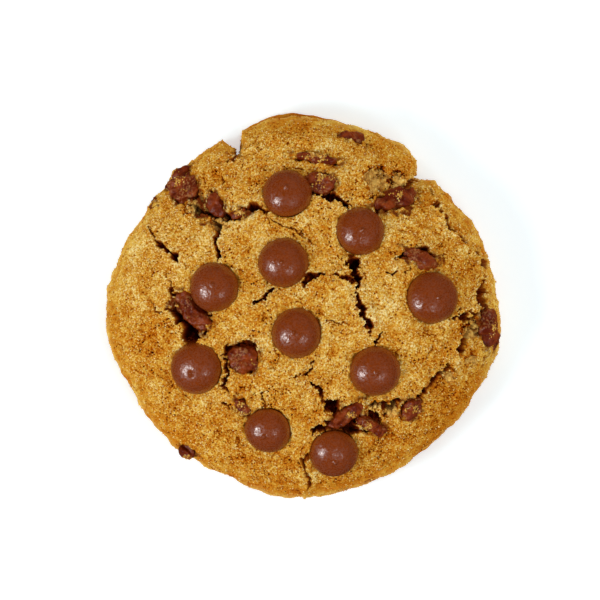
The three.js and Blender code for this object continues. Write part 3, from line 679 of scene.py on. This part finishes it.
# One mesh may hold only so many faces, so the dough is four quarters that meet face to face. Each is
# its part of the crust, two cut faces that drop straight to the base, and its part of the base.
BASE_STEP = 0.003
BASE_BROWNING = 0.82
MELTED_SHARE = 0.95
# The flat map: the side of the crust's square, where the rest starts, and its sizes
MAP_TOP, MAP_REST = 0.8, 0.81
MAP_CUT_WIDE, MAP_CUT_TALL, MAP_CUT_LOW, MAP_CUT_APART = 0.18, 0.1, 0.25, 0.2
MAP_BASE_SCALE, MAP_BASE_LOW = 0.0041, 0.005


def add_quarter(name, rows, columns):
    """rows and columns are the grid lines of the quarter, both from the cookie's middle outwards. On
    the flat map the crust is a square, and the base and the cut faces are beside it."""
    index = rows[:, None] * (2 * QUARTER + 1) + columns[None, :]
    top = crust[index].reshape(-1, 3)
    cells = np.arange((QUARTER + 1) ** 2).reshape(QUARTER + 1, QUARTER + 1)
    step = np.arange(QUARTER + 1) / QUARTER
    top_map = MAP_TOP * np.stack(np.meshgrid(step, step, indexing="ij"), -1).reshape(-1, 2)
    quads = np.stack([cells[:-1, :-1], cells[1:, :-1], cells[1:, 1:], cells[:-1, 1:]], -1).reshape(-1, 4)
    groups = [[quads, top_map[quads], True]]
    points = [top, np.zeros((1, 3))]
    origin = len(top)
    rims = []
    for number, upper in enumerate((cells[:, 0], cells[0, :])):
        # The base points of a cut run outwards under its upper edge without turning back
        edge = top[upper]
        reach = np.hypot(edge[:, 0], edge[:, 1])
        spread = np.maximum.accumulate(reach - reach[0]) + BASE_STEP * np.arange(len(reach))
        count = sum(len(part) for part in points)
        points.append(edge[-1] * (spread / spread[-1])[1:-1, None])
        lower = np.concatenate([[origin], count + np.arange(QUARTER - 1), upper[-1:]])
        cut_map = np.zeros((count + QUARTER - 1, 2))
        level = np.full(QUARTER + 1, MAP_CUT_LOW + MAP_CUT_APART * number)
        cut_map[lower] = np.stack([MAP_REST + MAP_CUT_WIDE * step, level], -1)
        cut_map[upper] = cut_map[lower] + np.array([0, MAP_CUT_TALL])
        last = np.array([[upper[-2], lower[-2], upper[-1]]])
        last_map = cut_map[last]
        last_map[0, 1] = cut_map[upper[-2]] - np.array([0, MAP_CUT_TALL])
        strip = np.stack([upper[:-2], lower[:-2], lower[1:-1], upper[1:-1]], -1)
        turned = slice(None, None, -1 if number else 1)
        groups.append([strip[:, turned], cut_map[strip][:, turned], False])
        groups.append([last[:, turned], last_map[:, turned], False])
        rims.append(lower)
    # The base is a fan from a point in its middle to its whole edge
    arc = np.concatenate([cells[-1, :], cells[-2::-1, -1]])
    loop = np.concatenate([rims[0][:-1], arc[:-1], rims[1][:0:-1]])
    points.append(top[-1:] * np.array([0.5, 0.5, 0]))
    everything = np.concatenate(points)
    fan = np.stack([loop, np.full(len(loop), len(everything) - 1), np.roll(loop, -1)], -1)
    base_map = np.abs(everything[:, :2]) * MAP_BASE_SCALE + np.array([MAP_REST, MAP_BASE_LOW])
    groups.append([fan, base_map[fan], False])
    # Two of the quarters are mirror images in the grid, so their faces are turned over
    if (rows[1] - rows[0]) * (columns[1] - columns[0]) < 0:
        groups = [[faces[:, ::-1], places[:, ::-1], soft] for faces, places, soft in groups]
    piece = add_piece(name, everything, groups, crust_material, "baked_dough", "dough")
    under = len(everything) - len(top)
    index = index.ravel()
    add_tones(piece, {
        "browning_and_shade": np.pad(browning_and_shade[index], (0, under), constant_values=BASE_BROWNING),
        "depth": np.pad(crumb_dark_and_shade[index], (0, under)),
        "stain": np.pad(MELTED_SHARE * stain[index], (0, under)),
        "pale": np.pad(paleness[index], (0, under)),
        "grain": np.pad(crumbly[index], (0, under)),
    })


inner, outer = np.arange(QUARTER, -1, -1), np.arange(QUARTER, 2 * QUARTER + 1)
add_quarter("dough_far_right", outer, outer)
add_quarter("dough_far_left", inner, outer)
add_quarter("dough_near_left", inner, inner)
add_quarter("dough_near_right", outer, inner)

# The whole chips are tempered milk chocolate, dropped from a nozzle: a satin dome with a small tip
# where the drop was cut off, and a rounded edge. They are pressed into the warm dough.
CHIP_HEIGHT = 4.2
CHIP_TIP_HEIGHT, CHIP_TIP_SPREAD = 0.5, 0.4
CHIP_TIP_LEAN, CHIP_TIP_TURN = 0.35, 1.7
CHIP_OVAL, CHIP_THREE_SIDED = 0.012, 0.008
CHIP_ROUNDNESS = 2.3
CHIP_FULLNESS = 1.65
CHIP_FOOT = 0.45
CHIP_FOOT_INSET = 0.35
CHIP_AROUND, CHIP_RINGS, CHIP_EDGE_RINGS = 96, 44, 6

# Tempered milk chocolate: an even brown, with a satin sheen that fine specks and dents break up.
# The specks of milk and cocoa are finer than a pixel, so they are drawn coarser to show
MILK_CHOCOLATE = "#8c3b06"
MILK_CHOCOLATE_DEEP = "#793105"
CHIP_SPECK_SIZE, CHIP_CLOUD_SIZE, CHIP_DENT_SIZE = 0.4, 0.6, 0.9
CHIP_DENT_RELIEF = 0.15 * MM
CHIP_GLOSSIEST, CHIP_DULLEST = 0.2, 0.42

chip_material, tree = start_material("tempered_milk_chocolate")
place = add_node(tree, "ShaderNodeTexCoord")
in_mm = add_node(tree, "ShaderNodeMapping", {"Vector": place.outputs["Object"], "Scale": TO_MM})
speckle = add_node(tree, "ShaderNodeTexNoise",
                   {"Vector": in_mm.outputs[0], "Scale": 1 / CHIP_SPECK_SIZE, "Detail": 2.0,
                    "Roughness": 0.6})
cloud = add_node(tree, "ShaderNodeTexNoise",
                 {"Vector": in_mm.outputs[0], "Scale": 1 / CHIP_CLOUD_SIZE, "Detail": 3.0,
                  "Roughness": 0.7})
blend = add_node(tree, "ShaderNodeMapRange",
                 {"Value": cloud.outputs[0], "From Min": 0.3, "From Max": 0.7})
colour = add_node(tree, "ShaderNodeMix",
                  {0: blend.outputs[0], 6: linear(MILK_CHOCOLATE), 7: linear(MILK_CHOCOLATE_DEEP)},
                  data_type="RGBA")
gloss = add_node(tree, "ShaderNodeMapRange",
                 {"Value": speckle.outputs[0], "From Min": 0.4, "From Max": 0.6,
                  "To Min": CHIP_GLOSSIEST, "To Max": CHIP_DULLEST})
dents = add_node(tree, "ShaderNodeTexNoise",
                 {"Vector": in_mm.outputs[0], "Scale": 1 / CHIP_DENT_SIZE, "Detail": 2.0,
                  "Roughness": 0.5})
relief = add_node(tree, "ShaderNodeBump",
                  {"Height": dents.outputs[0], "Strength": 1.0, "Distance": CHIP_DENT_RELIEF})
surface = add_node(tree, "ShaderNodeBsdfPrincipled",
                   {"Base Color": colour.outputs[2], "Roughness": gloss.outputs[0],
                    "Specular IOR Level": 0.95, "Normal": relief.outputs[0]})
add_node(tree, "ShaderNodeOutputMaterial", {"Surface": surface.outputs[0]})


# How far from the middle of the flat map the last ring and the closing point lie
RING_MAP, END_MAP = 0.48, 0.495


def closed_rings(rings, first, last):
    """Points and groups of faces of a closed surface through rings of equal length, with a point at
    each end. On the flat map the rings are circles, with the first point in their middle."""
    count, around = rings.shape[:2]
    points = np.concatenate([[first], rings.reshape(-1, 3), [last]])
    step = np.arange(around)
    after = (step + 1) % around
    turn = 2 * np.pi * step / around
    reach = RING_MAP * (np.arange(count) + 1) / (count + 1)
    circles = 0.5 + reach[:, None, None] * np.stack([np.cos(turn), np.sin(turn)], -1)
    flat_map = np.concatenate([[[0.5, 0.5]], circles.reshape(-1, 2), [[0.5, 0.5]]])
    cap = np.stack([np.zeros(around, int), 1 + step, 1 + after], -1)
    here = 1 + around * np.arange(count - 1)[:, None]
    quads = np.stack([here + step, here + around + step, here + around + after, here + after], -1)
    quads = quads.reshape(-1, 4)
    here = 1 + (count - 1) * around
    end = np.stack([here + step, np.full(around, len(points) - 1), here + after], -1)
    end_map = flat_map[end]
    middle = turn + np.pi / around
    end_map[:, 1] = 0.5 + END_MAP * np.stack([np.cos(middle), np.sin(middle)], -1)
    return points, [[cap, flat_map[cap], True], [quads, flat_map[quads], True], [end, end_map, True]]


def chip_drop(x, y, radius, seed):
    """A chip turned about its own axis: the height falls from the middle as a power of 1 less a power
    of the share of the radius, with a bell for the tip and a rounded edge. It is a little uneven
    around, and its tip leans."""
    turn = np.linspace(0, 2 * np.pi, CHIP_AROUND, endpoint=False)
    share = np.sin(np.linspace(0, np.pi / 2, CHIP_RINGS + 1))[1:]
    body = CHIP_FOOT + (CHIP_HEIGHT - CHIP_FOOT) * (1 - share**CHIP_ROUNDNESS) ** (1 / CHIP_FULLNESS)
    edge_turn = np.linspace(0, np.pi / 2, CHIP_EDGE_RINGS)[1:]
    foot_share = 1 - CHIP_FOOT_INSET / radius * (1 - np.cos(edge_turn))
    foot_level = CHIP_FOOT * (1 - np.sin(edge_turn))
    share = np.concatenate([share, foot_share])
    level = np.concatenate([body, foot_level])
    wobble = 1 + CHIP_OVAL * np.sin(2 * turn + seed) + CHIP_THREE_SIDED * np.sin(3 * turn + 2 * seed)
    reach = radius * share[:, None] * wobble[None, :]
    local_x = reach * np.cos(turn)
    local_y = reach * np.sin(turn)
    lean_x = CHIP_TIP_LEAN * np.cos(seed * CHIP_TIP_TURN)
    lean_y = CHIP_TIP_LEAN * np.sin(seed * CHIP_TIP_TURN)
    tip = CHIP_TIP_HEIGHT * bell(np.hypot(local_x - lean_x, local_y - lean_y), CHIP_TIP_SPREAD)
    local = np.stack([local_x, local_y, level[:, None] + tip], -1)
    tip_here = CHIP_TIP_HEIGHT * bell(np.hypot(lean_x, lean_y), CHIP_TIP_SPREAD)
    top = np.array([0, 0, CHIP_HEIGHT + tip_here])
    lie = lie_of_top(x, y, radius * CHIP_BEARING)
    seat = np.array([x, y, top_height(x, y) - CHIP_SINK])
    return closed_rings(local @ lie + seat, top @ lie + seat, seat)


for number, (x, y, radius) in enumerate(CHIPS, 1):
    name = f"chip_{number:02d}"
    points, groups = chip_drop(x, y, radius, number)
    add_piece(name + "_drop", points, groups, chip_material, "milk_chocolate", name)

# The broken pieces are the same chocolate, chopped, mixed into the dough and half melted in the
# oven: rough, darker and duller than the chips, with crumbs stuck to them.
CHUNK_AROUND, CHUNK_RINGS = 84, 44
CHUNK_SWELL = 0.35
# Size and height of the lumps, of the ridges between broken faces and of the grit on them
CHUNK_LUMPS, CHUNK_RIDGES, CHUNK_GRIT = (2.6, 0.9), (1.7, 0.8), (0.8, 0.34)
# A piece narrower than this is broken less deeply, and each piece reads the bumps this far along
CHUNK_WHOLE, CHUNK_APART = 3, 40

# Baked chocolate: dull and uneven, dark with lighter streaks where it melted and set again, and a
# dusting of crumbs in patches
BAKED_CHOCOLATE = "#611800"
BAKED_CHOCOLATE_LIGHT = "#983f0c"
CRUMB_DUST = "#c08850"
STREAK_SIZE, DUST_SIZE, DUST_PATCH_SIZE = 2.2, 0.45, 3.2
STREAK_RELIEF = 0.5 * MM

chunk_material, tree = start_material("baked_broken_chocolate")
place = add_node(tree, "ShaderNodeTexCoord")
in_mm = add_node(tree, "ShaderNodeMapping", {"Vector": place.outputs["Object"], "Scale": TO_MM})
streak = add_node(tree, "ShaderNodeTexNoise",
                  {"Vector": in_mm.outputs[0], "Scale": 1 / STREAK_SIZE, "Detail": 4.0,
                   "Roughness": 0.65})
blend = add_node(tree, "ShaderNodeMapRange",
                 {"Value": streak.outputs[0], "From Min": 0.4, "From Max": 0.68})
colour = add_node(tree, "ShaderNodeMix",
                  {0: blend.outputs[0], 6: linear(BAKED_CHOCOLATE), 7: linear(BAKED_CHOCOLATE_LIGHT)},
                  data_type="RGBA")
dust = add_node(tree, "ShaderNodeTexNoise",
                {"Vector": in_mm.outputs[0], "Scale": 1 / DUST_SIZE, "Detail": 1.0, "Roughness": 0.5})
dusty = add_node(tree, "ShaderNodeTexNoise",
                 {"Vector": in_mm.outputs[0], "Scale": 1 / DUST_PATCH_SIZE, "Detail": 1.0,
                  "Roughness": 0.5})
dust = add_node(tree, "ShaderNodeMapRange",
                {"Value": dust.outputs[0], "From Min": 0.5, "From Max": 0.6})
dusty = add_node(tree, "ShaderNodeMapRange",
                 {"Value": dusty.outputs[0], "From Min": 0.5, "From Max": 0.62, "To Max": 0.5})
dust = add_node(tree, "ShaderNodeMath",
                {0: dust.outputs[0], 1: dusty.outputs[0]}, operation="MULTIPLY")
colour = add_node(tree, "ShaderNodeMix",
                  {0: dust.outputs[0], 6: colour.outputs[2], 7: linear(CRUMB_DUST)}, data_type="RGBA")
relief = add_node(tree, "ShaderNodeBump",
                  {"Height": streak.outputs[0], "Strength": 1.0, "Distance": STREAK_RELIEF})
surface = add_node(tree, "ShaderNodeBsdfPrincipled",
                   {"Base Color": colour.outputs[2], "Roughness": 0.36, "Specular IOR Level": 0.3,
                    "Normal": relief.outputs[0]})
add_node(tree, "ShaderNodeOutputMaterial", {"Surface": surface.outputs[0]})


def broken_piece(x, y, length, width, depth, turn, rise, seed):
    """A blocky lump: a ball whose three directions are each raised to a power below 1, stretched to
    the piece's sizes, broken into ridges, turned to the lie of the top and sunk in it."""
    tilt = np.linspace(0, np.pi, CHUNK_RINGS + 2)[1:-1]
    around = np.linspace(0, 2 * np.pi, CHUNK_AROUND, endpoint=False)
    ball = np.stack([np.sin(tilt)[:, None] * np.cos(around),
                     np.sin(tilt)[:, None] * np.sin(around),
                     np.repeat(np.cos(tilt)[:, None], CHUNK_AROUND, 1)], -1)
    ball = np.concatenate([ball.reshape(-1, 3), [[0, 0, 1.0], [0, 0, -1.0]]])
    blocky = np.sign(ball) * np.abs(ball) ** (2 / CHUNK_SQUARENESS)
    local = blocky * np.array([length, width, depth]) / 2
    shifted = local + CHUNK_APART * seed
    (lump_size, lumps), (ridge_size, ridges), (grit_size, grit) = CHUNK_LUMPS, CHUNK_RIDGES, CHUNK_GRIT
    rough = lumps * bumps(shifted, lump_size, 71) - ridges * np.abs(bumps(shifted, ridge_size, 72))
    rough = rough + grit * bumps(shifted, grit_size, 73)
    local = local + ball * (CHUNK_SWELL + rough)[:, None] * min(1, width / CHUNK_WHOLE)
    cos, sin = np.cos(np.radians(turn)), np.sin(np.radians(turn))
    local = local @ np.array([[cos, sin, 0], [-sin, cos, 0], [0, 0, 1]])
    placed = local @ lie_of_top(x, y, width / 2)
    placed = placed + np.array([x, y, top_height(x, y) + rise - depth / 2])
    rings = placed[:-2].reshape(CHUNK_RINGS, CHUNK_AROUND, 3)
    return closed_rings(rings, placed[-2], placed[-1])


chunk_tops = []
for number, (name, sizes) in enumerate(CHUNKS.items()):
    points, groups = broken_piece(*sizes, number)
    add_piece(name + "_piece", points, groups, chunk_material, "baked_chocolate", name)
    # The upper third of the rings, for the crumbs that lie on it
    chunk_tops.append(points[1:1 + CHUNK_AROUND * CHUNK_RINGS // 3])

# Grains of sugar stand on the crust, pale ones and toasted ones. Crumbs broke off it and lie along
# the cracks, on the broken chocolate and in the torn places, half sunk in the surface under them.
# Each kind is one joined mesh, with its count, its range of sizes, how brown it is on the mean and
# how much that varies, and how pale it is at least
GRAIN_KINDS = (("sugar_grains", -0.2), ("toasted_grains", 0.08))
GRAIN_COUNT, GRAIN_SIZES, GRAIN_VARIES, GRAIN_STANDS = 22000, (0.08, 0.19), 0.2, 0.2
CRUMB_COUNT, CRUMB_SIZES, CRUMB_BROWN, CRUMB_LEAST_PALE = 6000, (0.1, 0.38), (0.42, 0.17), 0.2
STUCK_COUNT, STUCK_SIZES, STUCK_BROWN, STUCK_PALE, STUCK_STAIN = 900, (0.08, 0.3), (0.4, 0.2), 0.3, 0.08
TORN_COUNT, TORN_SIZES, TORN_BROWN, TORN_LEAST_PALE = 700, (0.12, 0.4), (0.3, 0.16), 0.4
CLUMP_COUNT, CLUMP_SPREAD = 60, 0.6
CRUMB_UNEVEN = (0.55, 1.25)
CRUMB_SPECKLE = 0.6
OCTAHEDRON = np.array([[1, 0, 0], [-1, 0, 0], [0, 1, 0], [0, -1, 0], [0, 0, 1], [0, 0, -1]], float)
OCTAHEDRON_FACES = np.array([[0, 2, 4], [2, 1, 4], [1, 3, 4], [3, 0, 4],
                             [2, 0, 5], [1, 2, 5], [3, 1, 5], [0, 3, 5]])
# On the flat map, the upper and the lower half are each a square with a point in its middle
OCTAHEDRON_MAP = np.array([[0, 0], [1, 1], [1, 0], [0, 1], [0.5, 0.5], [0.5, 0.5]])
OCTAHEDRON_MAP_SIDES, OCTAHEDRON_MAP_MARGIN = np.array([0.44, 0.94]), 0.03
chance = np.random.default_rng(7)


def any_turns(count):
    """A random turn for each of a count of things: three unit vectors at right angles."""
    first = chance.normal(size=(count, 3))
    third = np.cross(first, chance.normal(size=(count, 3)))
    first /= np.linalg.norm(first, axis=1, keepdims=True)
    third /= np.linalg.norm(third, axis=1, keepdims=True)
    return np.stack([first, np.cross(third, first), third], 1)


def add_crumbs(name, centres, sizes, brown, dark, stained, paler):
    """Uneven octahedra at the centres, each turned at random, joined in one mesh. Each has the tones
    of its own, one number for all six of its points."""
    count = len(centres)
    uneven = chance.uniform(*CRUMB_UNEVEN, (count, 6, 1)) * sizes[:, None, None]
    corners = np.einsum("kj,nji->nki", OCTAHEDRON, any_turns(count)) * uneven + centres[:, None, :]
    faces = (OCTAHEDRON_FACES[None] + 6 * np.arange(count)[:, None, None]).reshape(-1, 3)
    net = OCTAHEDRON_MAP[OCTAHEDRON_FACES] * OCTAHEDRON_MAP_SIDES + OCTAHEDRON_MAP_MARGIN
    net[4:, :, 0] += 0.5
    side = int(np.ceil(np.sqrt(count)))
    cell = np.stack([np.arange(count) % side, np.arange(count) // side], -1)
    places = ((cell[:, None, None] + net) / side).reshape(-1, 3, 2)
    groups = [[faces, places, False]]
    piece = add_piece(name, corners.reshape(-1, 3), groups, crust_material, "baked_dough")
    tones = {"browning_and_shade": brown, "depth": dark, "stain": stained, "pale": paler}
    add_tones(piece, {key: np.repeat(values, 6) for key, values in tones.items()})
    add_tones(piece, {"grain": np.full(count * 6, CRUMB_SPECKLE)})


# Nothing lies under the chips or low on the side wall. Few grains are down in the cracks or where
# the chocolate melted
SEATED, LOWEST = 0.15, 3
DITCH, DITCH_SHARE, MELTED_BARE = 0.8, 0.2, 0.9
open_top = (seat_depth < SEATED) & (height > LOWEST)
weight = open_top * np.where(torn_depth > DITCH, DITCH_SHARE, 1.0) * crumbly * (1 - MELTED_BARE * stain)
for name, darker in GRAIN_KINDS:
    chosen = chance.choice(len(crust), GRAIN_COUNT, p=weight / weight.sum())
    sizes = chance.uniform(*GRAIN_SIZES, GRAIN_COUNT)
    brown = browning_and_shade[chosen] + chance.normal(darker, GRAIN_VARIES, GRAIN_COUNT)
    centres = crust[chosen] + outwards[chosen] * sizes[:, None] * GRAIN_STANDS
    add_crumbs(name, centres, sizes, brown, crumb_dark_and_shade[chosen], stain[chosen], paleness[chosen])

# Crumbs of the crust gather on the lips of the cracks and in stained and torn places, and a few lie
# anywhere
ON_STAIN, ON_PATCH, ANYWHERE = 0.4, 2, 0.01
weight = near_crack * (torn_depth < 0.3) * ease(0.3 + 2 * ledges) + ON_STAIN * (stain > 0.3)
weight = open_top * (weight + ON_PATCH * pale + ANYWHERE)
chosen = chance.choice(len(crust), CRUMB_COUNT, p=weight / weight.sum())
# Those on the chocolate lie in clumps
tops = np.concatenate(chunk_tops)
clumps = tops[chance.integers(0, len(tops), CLUMP_COUNT)]
weight = sum(bell(np.linalg.norm(tops - clump, axis=1), CLUMP_SPREAD) for clump in clumps)
stuck = chance.choice(len(tops), STUCK_COUNT, p=weight / weight.sum())
brown = chance.normal(*CRUMB_BROWN, CRUMB_COUNT)
sizes = chance.uniform(*CRUMB_SIZES, CRUMB_COUNT)
add_crumbs("crust_crumbs", crust[chosen], sizes, brown, crumb_dark_and_shade[chosen], stain[chosen],
           np.maximum(paleness[chosen], CRUMB_LEAST_PALE))
brown = chance.normal(*STUCK_BROWN, STUCK_COUNT)
sizes = chance.uniform(*STUCK_SIZES, STUCK_COUNT)
none = np.zeros(STUCK_COUNT)
add_crumbs("chocolate_crumbs", tops[stuck], sizes, brown, none, none + STUCK_STAIN, none + STUCK_PALE)

# Paler crumbs of the soft inside lie where a flake of crust is gone
AT_CRACK = 0.12
weight = open_top * (pale + AT_CRACK * near_crack * (ledges > 0.3) * (torn_depth < 1.5))
chosen = chance.choice(len(crust), TORN_COUNT, p=weight / weight.sum())
brown = chance.normal(*TORN_BROWN, TORN_COUNT)
sizes = chance.uniform(*TORN_SIZES, TORN_COUNT)
add_crumbs("torn_crumbs", crust[chosen], sizes, brown, crumb_dark_and_shade[chosen], stain[chosen],
           np.maximum(paleness[chosen], TORN_LEAST_PALE))

# The surface that the cookie lies on is a plain sheet of opal acrylic, matt and lit evenly from
# behind, so that it stays white around a faint shadow. It is a hair below the cookie's underside
FLOOR_HALF = 1.5
FLOOR_LEVEL = -0.02 * MM
FLOOR_WHITE, FLOOR_LIGHT, FLOOR_GLOW = "#dfeef4", "#ffffff", 0.43
mesh = bpy.data.meshes.new("pale_surface")
mesh.from_pydata([(-FLOOR_HALF, -FLOOR_HALF, FLOOR_LEVEL), (FLOOR_HALF, -FLOOR_HALF, FLOOR_LEVEL),
                  (FLOOR_HALF, FLOOR_HALF, FLOOR_LEVEL), (-FLOOR_HALF, FLOOR_HALF, FLOOR_LEVEL)],
                 [], [(0, 1, 2, 3)])
floor_material, tree = start_material("opal_acrylic_sheet")
surface = add_node(tree, "ShaderNodeBsdfPrincipled",
                   {"Base Color": linear(FLOOR_WHITE), "Roughness": 0.9, "Specular IOR Level": 0.1,
                    "Emission Color": linear(FLOOR_LIGHT), "Emission Strength": FLOOR_GLOW})
add_node(tree, "ShaderNodeOutputMaterial", {"Surface": surface.outputs[0]})
mesh.materials.append(floor_material)
floor = bpy.data.objects.new("pale_surface", mesh)
bpy.context.scene.collection.objects.link(floor)

# Studio light: a dim white room, a small soft box on the left and a weak one at the near edge that
# give the chocolate its highlights, and two broad ones on the right and at the far edge that fill
# in. Each box has a name, azimuth, tilt, distance, side and power
ROOM_LIGHT = 0.22
SMALL_BOXES = (("left_soft_box", 203, 49, 0.7, 0.24, 2.5), ("low_soft_box", -55, 36, 0.7, 0.12, 0.4))
BROAD_BOXES = (("right_soft_box", -15, 46, 0.9, 0.9, 2.68), ("top_soft_box", 75, 52, 0.9, 0.9, 2.74))
world = bpy.data.worlds.new("white_studio")
world.use_nodes = True
world.node_tree.nodes["Background"].inputs["Color"].default_value = (1, 1, 1, 1)
world.node_tree.nodes["Background"].inputs["Strength"].default_value = ROOM_LIGHT
bpy.context.scene.world = world


def soft_box(name, azimuth, tilt, distance, side, power):
    """A square light aimed at the cookie's middle, at an azimuth from +X and a tilt from straight up,
    both in degrees."""
    light = bpy.data.lights.new(name, "AREA")
    light.shape = "RECTANGLE"
    light.size = side
    light.size_y = side
    light.energy = power
    box = bpy.data.objects.new(name, light)
    bpy.context.scene.collection.objects.link(box)
    a, t = np.radians(azimuth), np.radians(tilt)
    aside = distance * np.sin(t)
    box.location = (aside * np.cos(a), aside * np.sin(a), distance * np.cos(t))
    box.rotation_euler = (0, t, a)
    return box


for settings in SMALL_BOXES:
    soft_box(*settings)
fill_boxes = [soft_box(*settings) for settings in BROAD_BOXES]
# The fill, the room and the floor are polarised, so that they light the chocolate without a sheen
for thing in (*fill_boxes, floor):
    thing.visible_glossy = False
world.cycles_visibility.glossy = False

# The camera looks straight down from three metres. Its frame is as wide as this at the level where
# the cookie's outline is seen, and is centred as in the photo
FRAME_WIDE = 0.1254
CAMERA_HEIGHT = 3.0
SEEN_LEVEL = 0.006
CENTRE_X, CENTRE_Y = -0.0006, 0.00145
SENSOR = 36.0
lens = bpy.data.cameras.new("overhead_camera")
lens.sensor_width = SENSOR
lens.lens = SENSOR * (CAMERA_HEIGHT - SEEN_LEVEL) / FRAME_WIDE
lens.clip_end = 10
camera = bpy.data.objects.new("overhead_camera", lens)
camera.location = (CENTRE_X, CENTRE_Y, CAMERA_HEIGHT)
bpy.context.scene.collection.objects.link(camera)
bpy.context.scene.camera = camera
bpy.context.scene.view_settings.view_transform = "Standard"
